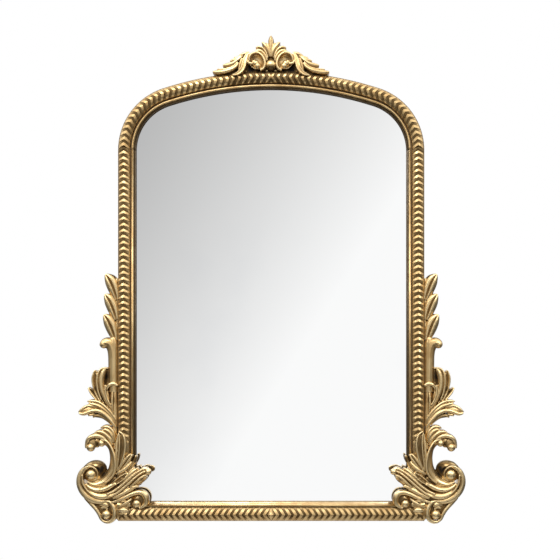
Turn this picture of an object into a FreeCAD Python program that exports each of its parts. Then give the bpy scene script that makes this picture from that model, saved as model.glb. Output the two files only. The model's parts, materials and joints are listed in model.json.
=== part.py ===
import FreeCAD, Part
import math
import os

# Arched wall mirror in a carved frame. Millimetres, +Z up, front towards -Y, the wall at y = 0.
# The origin is on the wall, midway between the two points where the rings hang on their hooks.
# In the frame, h is the height over the rail's underside and v the distance forward of the core's back.

Vector = FreeCAD.Vector
TO_WALL = Vector(0, 1, 0)
TO_FRONT = Vector(0, -1, 0)

# Frame outline, over the outer edges of the core
frame_width = 574.0
spring_height = 695.0
shoulder_radius = 122.0
crown_lift = 26.0

# Core section
face_width = 31.0
core_depth = 15.0
lip_width = 8.0

# Leaf moulding and sight bead on the core's front
moulding_inset = 1.0
moulding_width = 21.5
moulding_wall = 1.5
moulding_rise = 9.0
bead_width = 4.5
bead_wall = 2.3
bead_rise = 2.2
bead_flats = 8

# Glass, seal and backing board in the rebate
glass_thickness = 4.0
seal_thickness = 1.0
board_thickness = 3.0
sheet_clearance = 1.5
seal_setback = 0.5

# Carved ornament: shares of carving_size run across and up, shares of carving_relief run forward
carving_size = 187.3
carving_back = 3.0
carving_relief = 33.0
lobe_crown_share = 0.6

# Dowel pins between the core and the carvings
pin_radius = 2.0
pin_in_core = 14.0
pin_in_carving = 7.0

# Wood screws and pivot screws
screw_radius = 1.75
screw_length = 12.0
screw_head_radius = 3.4
screw_head_height = 1.8
screw_slot_width = 0.8
screw_slot_depth = 0.7

# Turn buttons
button_heel_radius = 6.5
button_tip_radius = 4.0
button_reach = 24.0
button_thickness = 1.5
button_gap = 0.2
running_clearance = 0.08

# Hanger straps and rings
strap_drop = 105.0
strap_width = 12.0
strap_length = 42.0
strap_thickness = 1.2
strap_screw_drops = (20.0, 34.0)
ring_wire_radius = 1.5
ring_half_width = 9.5
ring_side_length = 5.0

# Corner braces and splice plates
plate_thickness = 1.5
plate_width = 14.0
brace_arm = 60.0
brace_corner_gap = 3.0
splice_length = 56.0

# Wall pads
pad_radius = 7.0
pad_thickness = 8.0

# Places of the hardware along the members, as shares of their lengths
side_button_shares = (0.2, 0.68)
rail_button_share = 0.16
rail_pad_share = 0.3
crown_button_share = 0.5
crown_pad_share = 0.82
brace_screw_shares = (0.45, 0.85)
splice_screw_shares = (-0.38, -0.16, 0.16, 0.38)
pin_depth_share = 0.5

overrun = 5.0

# Worked out from the sizes above
half_width = frame_width / 2
land_width = face_width - lip_width
land_middle = land_width / 2
rebate_depth = board_thickness + glass_thickness + seal_thickness
knuckle_bore = ring_wire_radius + running_clearance
knuckle_radius = knuckle_bore + strap_thickness
strap_axis_height = spring_height - strap_drop
hang_height = strap_axis_height + ring_side_length + ring_half_width - ring_wire_radius
pin_depth = core_depth * pin_depth_share

shoulder_x = half_width - shoulder_radius
head_rise = shoulder_radius + crown_lift
crown_height = spring_height + head_rise
crown_radius = (head_rise ** 2 + shoulder_x ** 2 - shoulder_radius ** 2) / (2 * crown_lift)
crown_centre_height = crown_height - crown_radius
crown_half_turn = math.degrees(math.atan2(shoulder_x, spring_height - crown_centre_height))
shoulder_turn = 90 - crown_half_turn


def at(x, h, v):
    return Vector(x, -(pad_thickness + v), h - hang_height)


def mirrored(shape):
    return shape.mirror(Vector(0, 0, 0), Vector(1, 0, 0))


def joined(shapes):
    return shapes[0].fuse(shapes[1:]).removeSplitter()


def main_solid(shape):
    return max(shape.Solids, key=lambda solid: solid.Volume)


def on_arc(centre_x, centre_h, radius, degrees, v):
    turn = math.radians(degrees)
    return at(centre_x + radius * math.cos(turn), centre_h + radius * math.sin(turn), v)


# Sections, drawn in u (inwards from the outer edge) and v, and set in space by a place function

def core_section(place):
    corners = [
        (0, 0),
        (land_width, 0),
        (land_width, rebate_depth),
        (face_width, rebate_depth),
        (face_width, core_depth),
        (0, core_depth),
    ]
    return Part.makePolygon([place(u, v) for u, v in corners + corners[:1]])


def crowned_section(place, start, end, base, wall, rise):
    shoulder = base + wall
    crown = place((start + end) / 2, shoulder + rise)
    return Part.Wire([
        Part.makeLine(place(start, base), place(end, base)),
        Part.makeLine(place(end, base), place(end, shoulder)),
        Part.Arc(place(end, shoulder), crown, place(start, shoulder)).toShape(),
        Part.makeLine(place(start, shoulder), place(start, base)),
    ])


def moulding_section(place):
    end = moulding_inset + moulding_width
    return crowned_section(place, moulding_inset, end, core_depth, moulding_wall, moulding_rise)


def bead_section(place):
    half = bead_width / 2
    middle = face_width - half
    radius = (half ** 2 + bead_rise ** 2) / (2 * bead_rise)
    centre = core_depth + bead_wall + bead_rise - radius
    reach = math.acos((radius - bead_rise) / radius)
    points = [place(face_width - bead_width, core_depth), place(face_width, core_depth)]
    for flat in range(bead_flats + 1):
        turn = reach * (1 - 2 * flat / bead_flats)
        points.append(place(middle + radius * math.sin(turn), centre + radius * math.cos(turn)))
    return Part.makePolygon(points + points[:1])


# Frame members: stiles and rail are straight runs mitred at the bottom, the head turns on three arcs

def mitre_prism(corners):
    outline = [at(x, h, -overrun) for x, h in corners + corners[:1]]
    depth = core_depth + moulding_wall + moulding_rise + 2 * overrun
    return Part.Face(Part.makePolygon(outline)).extrude(TO_FRONT * depth)


def left_stile(section):
    run = Part.Face(section(lambda u, v: at(u - half_width, 0, v)))
    inner = face_width - half_width + overrun
    mitre = mitre_prism([
        (-half_width - overrun, -overrun),
        (inner, face_width + overrun),
        (inner, spring_height + overrun),
        (-half_width - overrun, spring_height + overrun),
    ])
    return run.extrude(Vector(0, 0, spring_height)).common(mitre)


def bottom_rail(section):
    run = Part.Face(section(lambda u, v: at(-half_width, u, v)))
    outer = half_width + overrun
    inner = half_width - face_width - overrun
    mitre = mitre_prism([
        (-outer, -overrun),
        (outer, -overrun),
        (inner, face_width + overrun),
        (-inner, face_width + overrun),
    ])
    return run.extrude(Vector(frame_width, 0, 0)).common(mitre)


def arched_head(section):
    shoulder_centre = at(-shoulder_x, spring_height, 0)
    start = Part.Face(section(lambda u, v: at(u - half_width, spring_height, v)))
    shoulder = start.revolve(shoulder_centre, TO_WALL, shoulder_turn)
    joint = start.copy()
    joint.rotate(shoulder_centre, TO_WALL, shoulder_turn)
    crown = joint.revolve(at(0, crown_centre_height, 0), TO_WALL, 2 * crown_half_turn)
    return joined([shoulder, crown, mirrored(shoulder)])


def members(section):
    stile = left_stile(section)
    return {
        "left": stile,
        "right": mirrored(stile),
        "bottom": bottom_rail(section),
        "arch": arched_head(section),
    }


# Sheets in the rebate, outlined at a given distance inwards from the frame's outer edge

def sheet(inset, back, thickness):
    side = half_width - inset
    turn = shoulder_turn
    edges = [
        Part.makeLine(at(-side, inset, back), at(side, inset, back)),
        Part.makeLine(at(side, inset, back), at(side, spring_height, back)),
    ]
    arcs = [
        (shoulder_x, spring_height, shoulder_radius - inset, 0, turn),
        (0, crown_centre_height, crown_radius - inset, turn, 180 - turn),
        (-shoulder_x, spring_height, shoulder_radius - inset, 180 - turn, 180),
    ]
    for x, h, radius, start, end in arcs:
        points = [on_arc(x, h, radius, angle, back) for angle in (start, (start + end) / 2, end)]
        edges.append(Part.Arc(*points).toShape())
    edges.append(Part.makeLine(at(-side, spring_height, back), at(-side, inset, back)))
    return Part.Face(Part.Wire(edges)).extrude(TO_FRONT * thickness)


def rebate_sheets():
    edge = land_width + sheet_clearance
    seal_back = board_thickness + glass_thickness
    seal_opening = sheet(face_width - seal_setback, seal_back - overrun, seal_thickness + 2 * overrun)
    return {
        "backing_board": sheet(edge, 0, board_thickness),
        "mirror_glass": sheet(edge, board_thickness, glass_thickness),
        "glazing_seal": sheet(edge, seal_back, seal_thickness).cut(seal_opening),
    }


# Carvings: each lobe is a ruled loft through flat-backed crowned sections along a spine of stations.
# A station is across, up, half width (shares of carving_size) and front (share of carving_relief).

def side_spot(across, up):
    return -half_width - across * carving_size, up * carving_size


def crest_spot(across, up):
    return -across * carving_size, crown_height + up * carving_size


def lobe(spot, station_shares, back=carving_back):
    spots = [spot(across, up) for across, up, half, front in station_shares]
    last = len(spots) - 1
    wires = []
    for index, (across, up, half, front) in enumerate(station_shares):
        x, h = spots[index]
        before = spots[max(index - 1, 0)]
        after = spots[min(index + 1, last)]
        run = math.hypot(after[0] - before[0], after[1] - before[1])
        reach = half * carving_size
        side_x = (before[1] - after[1]) / run * reach
        side_h = (after[0] - before[0]) / run * reach
        rise = reach * lobe_crown_share
        wall = carving_back + front * carving_relief - rise - back
        place = lambda side, v: at(x + side * side_x, h + side * side_h, v)
        wires.append(crowned_section(place, -1, 1, back, wall, rise))
    return Part.makeLoft(wires, True, True)


def dome(spot, dome_shares, back=carving_back):
    """A round boss: across, up and radius as in a lobe, its front, and its rise as a share of the radius."""
    across, up, round_share, front_share, rise_share = dome_shares
    x, h = spot(across, up)
    radius = round_share * carving_size
    rise = radius * rise_share
    front = carving_back + front_share * carving_relief
    ball_radius = (radius ** 2 + rise ** 2) / (2 * rise)
    turn = math.asin(radius / ball_radius) / 2
    shoulder = at(x + radius, h, front - rise)
    halfway = at(x + ball_radius * math.sin(turn), h, front - ball_radius * (1 - math.cos(turn)))
    outline = Part.Wire([
        Part.makeLine(at(x, h, back), at(x + radius, h, back)),
        Part.makeLine(at(x + radius, h, back), shoulder),
        Part.Arc(shoulder, halfway, at(x, h, front)).toShape(),
        Part.makeLine(at(x, h, front), at(x, h, back)),
    ])
    return Part.Face(outline).revolve(at(x, h, back), TO_FRONT, 360)


def corner_scroll():
    spot = side_spot
    stem_shares = [
        (0.152, 0.780, 0.020, 0.55),
        (0.107, 0.792, 0.028, 0.66),
        (0.064, 0.745, 0.031, 0.72),
        (0.043, 0.670, 0.033, 0.76),
        (0.040, 0.585, 0.034, 0.78),
        (0.057, 0.505, 0.036, 0.78),
        (0.105, 0.435, 0.040, 0.74),
        (0.180, 0.387, 0.038, 0.66),
        (0.247, 0.380, 0.026, 0.58),
        (0.298, 0.407, 0.008, 0.52),
    ]
    band_shares = [
        (0.105, 0.212, 0.014, 0.46),
        (0.185, 0.217, 0.028, 0.55),
        (0.270, 0.250, 0.035, 0.64),
        (0.335, 0.305, 0.035, 0.70),
        (0.370, 0.375, 0.034, 0.74),
        (0.377, 0.450, 0.033, 0.78),
        (0.353, 0.517, 0.032, 0.80),
        (0.305, 0.560, 0.030, 0.80),
        (0.245, 0.570, 0.028, 0.78),
        (0.200, 0.537, 0.022, 0.72),
    ]
    outer_flute_shares = [
        (0.320, 0.400, 0.010, 0.50),
        (0.295, 0.330, 0.024, 0.56),
        (0.230, 0.283, 0.032, 0.60),
        (0.140, 0.270, 0.034, 0.62),
        (0.045, 0.285, 0.034, 0.64),
        (-0.020, 0.320, 0.032, 0.66),
    ]
    inner_flute_shares = [
        (0.235, 0.334, 0.010, 0.48),
        (0.140, 0.334, 0.018, 0.54),
        (0.043, 0.367, 0.026, 0.60),
        (-0.020, 0.405, 0.028, 0.64),
    ]
    foot_ground_shares = [
        (0.220, 0.220, 0.090, 0.42),
        (0.160, 0.150, 0.086, 0.42),
        (0.105, 0.080, 0.080, 0.42),
        (0.085, 0.035, 0.050, 0.40),
    ]
    foot_band_shares = [
        (0.088, 0.202, 0.020, 0.46),
        (0.037, 0.135, 0.024, 0.54),
        (0.026, 0.062, 0.024, 0.58),
        (0.055, 0.007, 0.022, 0.56),
        (0.107, -0.007, 0.018, 0.52),
        (0.154, 0.015, 0.012, 0.46),
    ]
    scroll = [stem_shares, band_shares, outer_flute_shares, inner_flute_shares]
    foot = [foot_ground_shares, foot_band_shares]
    volute_shares = (0.250, 0.475, 0.125, 0.72, 0.2)
    eye_shares = (0.255, 0.475, 0.058, 0.92, 0.8)
    foot_ball_shares = (0.110, 0.078, 0.050, 0.72, 0.8)
    lobes = [lobe(spot, shares) for shares in scroll + foot]
    domes = [dome(spot, shares) for shares in (volute_shares, eye_shares, foot_ball_shares)]
    return joined(lobes + domes)


def corner_leaf():
    spot = side_spot
    main_shares = [
        (0.060, 0.295, 0.030, 0.70),
        (-0.077, 0.400, 0.046, 0.88),
        (-0.200, 0.480, 0.046, 0.86),
        (-0.290, 0.515, 0.040, 0.78),
        (-0.325, 0.500, 0.020, 0.70),
    ]
    upper_shares = [
        (0.025, 0.365, 0.026, 0.70),
        (-0.123, 0.470, 0.032, 0.84),
        (-0.205, 0.540, 0.014, 0.74),
    ]
    middle_shares = [
        (0.015, 0.390, 0.030, 0.70),
        (-0.070, 0.510, 0.030, 0.82),
        (-0.150, 0.592, 0.012, 0.76),
    ]
    top_shares = [
        (0.010, 0.420, 0.030, 0.70),
        (-0.060, 0.560, 0.032, 0.82),
        (-0.128, 0.668, 0.014, 0.76),
    ]
    tongue_shares = [
        (0.015, 0.350, 0.034, 0.70),
        (-0.010, 0.480, 0.038, 0.78),
        (-0.038, 0.610, 0.044, 0.84),
        (-0.042, 0.760, 0.042, 0.84),
        (-0.022, 0.905, 0.014, 0.76),
    ]
    lower_shares = [
        (0.050, 0.230, 0.024, 0.66),
        (-0.090, 0.315, 0.036, 0.82),
        (-0.195, 0.360, 0.016, 0.72),
    ]
    curl_shares = [
        (0.060, 0.200, 0.018, 0.64),
        (-0.040, 0.235, 0.024, 0.76),
        (-0.130, 0.277, 0.026, 0.78),
        (-0.210, 0.292, 0.026, 0.78),
        (-0.270, 0.265, 0.026, 0.76),
        (-0.290, 0.212, 0.024, 0.74),
        (-0.260, 0.165, 0.020, 0.72),
        (-0.205, 0.150, 0.014, 0.70),
    ]
    strips = [main_shares, upper_shares, middle_shares, top_shares, tongue_shares, lower_shares, curl_shares]
    eye_shares = (-0.194, 0.190, 0.044, 0.74, 0.8)
    lobes = [lobe(spot, shares, core_depth) for shares in strips]
    return joined(lobes + [dome(spot, eye_shares, core_depth)])


def curled_leaf():
    spot = side_spot
    hood_shares = [
        (0.010, 0.790, 0.030, 0.60),
        (0.130, 0.860, 0.042, 0.72),
        (0.215, 0.855, 0.048, 0.78),
        (0.272, 0.805, 0.042, 0.78),
        (0.262, 0.735, 0.030, 0.72),
        (0.225, 0.725, 0.016, 0.66),
    ]
    middle_shares = [
        (0.010, 0.850, 0.030, 0.56),
        (0.100, 0.905, 0.032, 0.64),
        (0.180, 0.910, 0.024, 0.66),
        (0.220, 0.890, 0.010, 0.62),
    ]
    upper_shares = [
        (0.010, 0.900, 0.028, 0.52),
        (0.080, 0.940, 0.026, 0.58),
        (0.150, 0.940, 0.018, 0.60),
        (0.185, 0.915, 0.008, 0.58),
    ]
    stalk_shares = [(0.020, 0.740, 0.024, 0.46), (0.020, 0.980, 0.024, 0.46)]
    return joined([lobe(spot, shares) for shares in (stalk_shares, hood_shares, middle_shares, upper_shares)])


def acanthus_spray():
    spot = side_spot
    lower_shares = [
        (0.020, 0.970, 0.022, 0.52),
        (0.070, 1.040, 0.032, 0.58),
        (0.134, 1.095, 0.036, 0.62),
        (0.210, 1.120, 0.040, 0.62),
        (0.295, 1.115, 0.042, 0.58),
        (0.370, 1.085, 0.026, 0.54),
        (0.397, 1.090, 0.010, 0.52),
    ]
    strip_shares = [
        (0.040, 1.060, 0.020, 0.50),
        (0.120, 1.150, 0.024, 0.56),
        (0.200, 1.188, 0.024, 0.56),
        (0.270, 1.195, 0.020, 0.52),
        (0.310, 1.190, 0.008, 0.48),
    ]
    barb_shares = [
        (0.180, 1.190, 0.016, 0.46),
        (0.240, 1.255, 0.022, 0.50),
        (0.300, 1.330, 0.007, 0.46),
    ]
    outer_shares = [
        (0.150, 1.180, 0.018, 0.48),
        (0.205, 1.310, 0.028, 0.54),
        (0.235, 1.430, 0.026, 0.56),
        (0.228, 1.515, 0.008, 0.52),
    ]
    inner_shares = [
        (0.090, 1.120, 0.018, 0.52),
        (0.145, 1.280, 0.031, 0.58),
        (0.155, 1.410, 0.034, 0.60),
        (0.110, 1.530, 0.014, 0.58),
    ]
    sheath_shares = [
        (0.045, 0.990, 0.034, 0.52),
        (0.055, 1.160, 0.046, 0.58),
        (0.055, 1.310, 0.050, 0.62),
        (0.050, 1.385, 0.032, 0.62),
    ]
    web_shares = [
        (0.080, 1.060, 0.050, 0.42),
        (0.140, 1.200, 0.066, 0.44),
        (0.190, 1.340, 0.056, 0.44),
        (0.195, 1.440, 0.036, 0.42),
    ]
    ribs = [lower_shares, strip_shares, barb_shares, outer_shares, inner_shares, sheath_shares, web_shares]
    return joined([lobe(spot, shares) for shares in ribs])


def stem_post():
    shaft_shares = [
        (0.045, 1.300, 0.054, 0.52),
        (0.045, 1.790, 0.054, 0.52),
        (0.050, 1.840, 0.034, 0.48),
    ]
    hook_shares = [
        (0.020, 1.795, 0.044, 0.50),
        (0.070, 1.805, 0.048, 0.54),
        (0.125, 1.792, 0.042, 0.56),
        (0.165, 1.768, 0.030, 0.54),
        (0.186, 1.750, 0.012, 0.50),
    ]
    return joined([lobe(side_spot, shaft_shares), lobe(side_spot, hook_shares)])


def laurel_sprig():
    all_leaf_shares = [
        [
            (0.000, 2.230, 0.036, 0.44),
            (0.020, 2.290, 0.054, 0.50),
            (0.045, 2.360, 0.058, 0.54),
            (0.078, 2.420, 0.046, 0.52),
            (0.120, 2.466, 0.008, 0.46),
        ],
        [
            (0.000, 2.035, 0.038, 0.44),
            (0.025, 2.095, 0.058, 0.50),
            (0.055, 2.165, 0.062, 0.54),
            (0.090, 2.228, 0.048, 0.52),
            (0.136, 2.277, 0.008, 0.46),
        ],
        [
            (0.000, 1.830, 0.040, 0.44),
            (0.030, 1.895, 0.060, 0.50),
            (0.060, 1.965, 0.064, 0.54),
            (0.100, 2.030, 0.050, 0.52),
            (0.147, 2.070, 0.008, 0.46),
        ],
    ]
    twig_shares = [(0.010, 1.840, 0.012, 0.40), (0.010, 2.420, 0.010, 0.38)]
    leaves = [lobe(side_spot, shares) for shares in all_leaf_shares]
    return joined([lobe(side_spot, twig_shares)] + leaves)


def crest_plume():
    spot = crest_spot
    spike_shares = [
        (0, 0.120, 0.034, 0.62),
        (0, 0.210, 0.038, 0.66),
        (0, 0.280, 0.032, 0.62),
        (0, 0.342, 0.006, 0.54),
    ]
    ground_shares = [(0, -0.040, 0.060, 0.50), (0, 0.120, 0.066, 0.52), (0, 0.200, 0.040, 0.50)]
    inner_shares = [
        (0.012, 0.120, 0.020, 0.58),
        (0.037, 0.210, 0.024, 0.60),
        (0.084, 0.277, 0.008, 0.54),
    ]
    outer_shares = [
        (0.027, 0.100, 0.020, 0.54),
        (0.067, 0.180, 0.024, 0.56),
        (0.155, 0.214, 0.008, 0.50),
    ]
    middle = [lobe(spot, ground_shares), lobe(spot, spike_shares)]
    sides = [lobe(spot, inner_shares), lobe(spot, outer_shares)]
    return joined(middle + sides + [mirrored(side) for side in sides])


def crest_curl():
    spot = crest_spot
    rim_across_share = 0.140
    rim_up_share = 0.088
    rim_radius_share = 0.083
    rim_half_share = 0.016
    rim_front_share = 0.66
    rim_start, rim_end, rim_steps = -57, 250, 12
    rim_shares = []
    for step in range(rim_steps + 1):
        turn = math.radians(rim_start + (rim_end - rim_start) * step / rim_steps)
        across = rim_across_share + rim_radius_share * math.cos(turn)
        up = rim_up_share + rim_radius_share * math.sin(turn)
        rim_shares.append((across, up, rim_half_share, rim_front_share))
    cup_shares = (0.139, 0.075, 0.080, 0.50, 0.2)
    bud_shares = (0.147, 0.050, 0.040, 0.64, 0.8)
    ball_shares = (0.200, 0.018, 0.034, 0.56, 0.8)
    domes = [dome(spot, shares) for shares in (cup_shares, bud_shares, ball_shares)]
    return joined([lobe(spot, rim_shares)] + domes)


def crest_leaf():
    spot = crest_spot
    outer_shares = [
        (0.205, 0.150, 0.022, 0.56),
        (0.288, 0.110, 0.042, 0.60),
        (0.353, 0.065, 0.048, 0.62),
        (0.422, 0.020, 0.044, 0.60),
        (0.497, -0.008, 0.032, 0.56),
        (0.570, -0.016, 0.008, 0.50),
    ]
    inner_shares = [
        (0.230, 0.140, 0.024, 0.60),
        (0.262, 0.060, 0.034, 0.70),
        (0.297, 0.000, 0.032, 0.72),
        (0.377, -0.048, 0.008, 0.68),
    ]
    all_barb_shares = [
        [(0.290, 0.100, 0.024, 0.60), (0.325, 0.142, 0.007, 0.54)],
        [(0.340, 0.070, 0.024, 0.60), (0.372, 0.120, 0.007, 0.54)],
        [(0.385, 0.040, 0.024, 0.60), (0.413, 0.086, 0.007, 0.54)],
        [(0.445, 0.005, 0.022, 0.58), (0.482, 0.044, 0.007, 0.52)],
    ]
    barbs = [lobe(spot, shares) for shares in all_barb_shares]
    return joined([lobe(spot, outer_shares), lobe(spot, inner_shares)] + barbs)


def crest_pearl():
    pearl_shares = (0, 0.042, 0.052, 0.78, 0.9)
    return dome(crest_spot, pearl_shares)


def seated(carvings, seats):
    """Cut each carving to its seat and to the carvings named before it, and keep its main solid."""
    result = {}
    for name, shape in carvings:
        neighbours = list(result.values())
        result[name] = main_solid(shape.cut(seats + neighbours))
    return result


def all_carvings(seats):
    crest = seated([
        ("crest_pearl", crest_pearl()),
        ("crest_plume", crest_plume()),
        ("crest_curl_left", crest_curl()),
        ("crest_leaf_left", crest_leaf()),
    ], seats)
    side = seated([
        ("corner_scroll_left", corner_scroll()),
        ("corner_leaf_left", corner_leaf()),
        ("curled_leaf_left", curled_leaf()),
        ("acanthus_spray_left", acanthus_spray()),
        ("stem_post_left", stem_post()),
        ("laurel_sprig_left", laurel_sprig()),
    ], seats)
    carvings = {**crest, **side}
    for name, shape in list(carvings.items()):
        if name.endswith("_left"):
            carvings[name.replace("_left", "_right")] = mirrored(shape)
    return carvings


# Pins from the core's outer edge into the carvings

def carving_pins():
    side_up_shares = (0.36, 0.62, 0.85, 1.1, 1.5, 1.74, 1.91, 2.12, 2.33)
    crest_across_shares = (0, 0.139, 0.285)
    length = pin_in_core + pin_in_carving
    pins = []
    for up in side_up_shares:
        foot = at(pin_in_core - half_width, up * carving_size, pin_depth)
        pin = Part.makeCylinder(pin_radius, length, foot, Vector(-1, 0, 0))
        pins += [pin, mirrored(pin)]
    for across in crest_across_shares:
        x = -across * carving_size
        edge = crown_centre_height + math.sqrt(crown_radius ** 2 - x ** 2)
        pin = Part.makeCylinder(pin_radius, length, at(x, edge - pin_in_core, pin_depth), Vector(0, 0, 1))
        pins.append(pin)
        if across:
            pins.append(mirrored(pin))
    return pins


# Screws, all driven forward from the back

def screw(x, h, seat):
    shank = Part.makeCylinder(screw_radius, screw_length, at(x, h, -seat), TO_FRONT)
    head = Part.makeCylinder(screw_head_radius, screw_head_height, at(x, h, -seat), TO_WALL)
    slot_bottom = seat + screw_head_height - screw_slot_depth
    slot = Part.makeBox(2 * screw_head_radius, screw_slot_depth, screw_slot_width)
    slot.translate(at(x - screw_head_radius, h - screw_slot_width / 2, -slot_bottom))
    return shank.fuse(head).cut(slot)


# Turn buttons: a name, the pivot and the heading of the tip, which points over the board

def button_places():
    places = {}
    side_x = half_width - land_middle
    for name, share in zip(("lower", "upper"), side_button_shares):
        places["turn_button_left_" + name] = (-side_x, share * spring_height, 0)
        places["turn_button_right_" + name] = (side_x, share * spring_height, 180)
    for name, side in (("left", -1), ("right", 1)):
        places["turn_button_bottom_" + name] = (side * rail_button_share * frame_width, land_middle, 90)
        turn = side * crown_button_share * crown_half_turn
        reach = crown_radius - land_middle
        x = reach * math.sin(math.radians(turn))
        h = crown_centre_height + reach * math.cos(math.radians(turn))
        places["turn_button_crown_" + name] = (x, h, -90 - turn)
    return places


def turn_button(x, h, heading):
    lean = math.acos((button_heel_radius - button_tip_radius) / button_reach)
    heel_x = button_heel_radius * math.cos(lean)
    heel_z = button_heel_radius * math.sin(lean)
    tip_x = button_reach + button_tip_radius * math.cos(lean)
    tip_z = button_tip_radius * math.sin(lean)
    heel = [Vector(heel_x, 0, heel_z), Vector(-button_heel_radius, 0, 0), Vector(heel_x, 0, -heel_z)]
    tip = [Vector(tip_x, 0, -tip_z), Vector(button_reach + button_tip_radius, 0, 0), Vector(tip_x, 0, tip_z)]
    outline = Part.Wire([
        Part.Arc(*heel).toShape(),
        Part.makeLine(heel[2], tip[0]),
        Part.Arc(*tip).toShape(),
        Part.makeLine(tip[2], heel[0]),
    ])
    plate = Part.Face(outline).extrude(TO_WALL * button_thickness)
    bore = Part.makeCylinder(screw_radius + running_clearance, button_thickness, Vector(0, 0, 0), TO_WALL)
    button = plate.cut(bore)
    button.rotate(Vector(0, 0, 0), TO_FRONT, heading)
    button.translate(at(x, h, -button_gap))
    return button


def button_screws():
    seat = 2 * button_gap + button_thickness
    return [screw(x, h, seat) for x, h, heading in button_places().values()]


# Hanger straps with a rolled knuckle at the top, and the rings that swing in them

def strap_x():
    return half_width - land_middle


def hanger_strap():
    left = strap_width / 2
    axis = at(-strap_x() - left, strap_axis_height, -knuckle_radius)
    knuckle = Part.makeCylinder(knuckle_radius, strap_width, axis, Vector(1, 0, 0))
    bore = Part.makeCylinder(knuckle_bore, strap_width, axis, Vector(1, 0, 0))
    leaf = Part.makeBox(strap_width, strap_thickness, strap_length)
    leaf.translate(at(-strap_x() - left, strap_axis_height - strap_length, 0))
    return leaf.fuse(knuckle).cut(bore).removeSplitter()


def strap_screws():
    drops = [strap_axis_height - drop for drop in strap_screw_drops]
    screws = [screw(-strap_x(), h, strap_thickness) for h in drops]
    return screws + [mirrored(one) for one in screws]


def hanger_ring():
    bar_end = Vector(ring_half_width, 0, 0)
    bar = Part.makeCylinder(ring_wire_radius, 2 * ring_half_width, -bar_end, Vector(1, 0, 0))
    wire = Part.Face(Part.Wire(Part.makeCircle(ring_wire_radius, bar_end, Vector(0, 0, 1))))
    side = wire.extrude(Vector(0, 0, ring_side_length))
    wire.translate(Vector(0, 0, ring_side_length))
    bow = wire.revolve(Vector(0, 0, ring_side_length), TO_FRONT, 180)
    elbow = Part.makeSphere(ring_wire_radius, bar_end)
    ring = joined([bar, side, elbow, mirrored(side), mirrored(elbow), bow])
    ring.translate(at(-strap_x(), strap_axis_height, -knuckle_radius))
    return ring


# Plates over the joints of the core

def corner_brace():
    outer = land_middle - plate_width / 2
    inner = land_middle + plate_width / 2
    end = brace_corner_gap + brace_arm
    corners = [(outer, outer), (end, outer), (end, inner), (inner, inner), (inner, end), (outer, end)]
    outline = [at(x - half_width, h, 0) for x, h in corners + corners[:1]]
    return Part.Face(Part.makePolygon(outline)).extrude(TO_WALL * plate_thickness)


def splice_plate():
    plate = Part.makeBox(plate_width, plate_thickness, splice_length)
    left = land_middle - plate_width / 2 - half_width
    plate.translate(at(left, spring_height - splice_length / 2, 0))
    return plate


def plate_screws():
    stile_x = land_middle - half_width
    places = [(stile_x, spring_height + share * splice_length) for share in splice_screw_shares]
    for share in brace_screw_shares:
        along = brace_corner_gap + share * brace_arm
        places += [(along - half_width, land_middle), (stile_x, along)]
    screws = [screw(x, h, plate_thickness) for x, h in places]
    return screws + [mirrored(one) for one in screws]


def wall_pads():
    reach = crown_radius - land_middle
    turn = math.radians(crown_pad_share * crown_half_turn)
    upper = (-reach * math.sin(turn), crown_centre_height + reach * math.cos(turn))
    lower = (-rail_pad_share * frame_width, land_middle)
    pads = [Part.makeCylinder(pad_radius, pad_thickness, at(x, h, 0), TO_WALL) for x, h in (lower, upper)]
    return pads + [mirrored(pad) for pad in pads]


def build():
    core = members(core_section)
    mouldings = members(moulding_section)
    beads = members(bead_section)
    seats = list(core.values()) + list(mouldings.values()) + list(beads.values())
    carvings = all_carvings(seats)

    pins = carving_pins()
    strap_fixings = strap_screws()
    plate_fixings = plate_screws()
    button_fixings = button_screws()
    fixings = pins + strap_fixings + plate_fixings + button_fixings

    core_names = {
        "left": "left_stile",
        "right": "right_stile",
        "bottom": "bottom_rail",
        "arch": "arched_head",
    }
    nodes = {}
    for place, name in core_names.items():
        nodes[name] = core[place].cut(fixings)
        nodes["leaf_moulding_" + place] = mouldings[place]
        nodes["sight_bead_" + place] = beads[place]
    for name, shape in carvings.items():
        nodes[name] = shape.cut(pins)
    nodes.update(rebate_sheets())

    strap = hanger_strap().cut(strap_fixings)
    ring = hanger_ring()
    brace = corner_brace().cut(plate_fixings)
    splice = splice_plate().cut(plate_fixings)
    pairs = {"hanger_strap": strap, "hanger_ring": ring, "corner_brace": brace, "splice_plate": splice}
    for name, shape in pairs.items():
        nodes[name + "_left"] = shape
        nodes[name + "_right"] = mirrored(shape)
    for name, place in button_places().items():
        nodes[name] = turn_button(*place)

    nodes["carving_pins"] = Part.makeCompound(pins)
    nodes["strap_screws"] = Part.makeCompound(strap_fixings)
    nodes["plate_screws"] = Part.makeCompound(plate_fixings)
    nodes["button_screws"] = Part.makeCompound(button_fixings)
    nodes["wall_pads"] = Part.makeCompound(wall_pads())
    return nodes


os.makedirs("parts", exist_ok=True)
for node, shape in build().items():
    print(node, len(shape.Solids), shape.isValid(), round(shape.Volume, 1))
    shape.exportStep("parts/" + node + ".step")
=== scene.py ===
import json
import math
import bpy
import bmesh
import numpy as np
from mathutils import Matrix, Vector
from mathutils.geometry import interpolate_bezier


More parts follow.
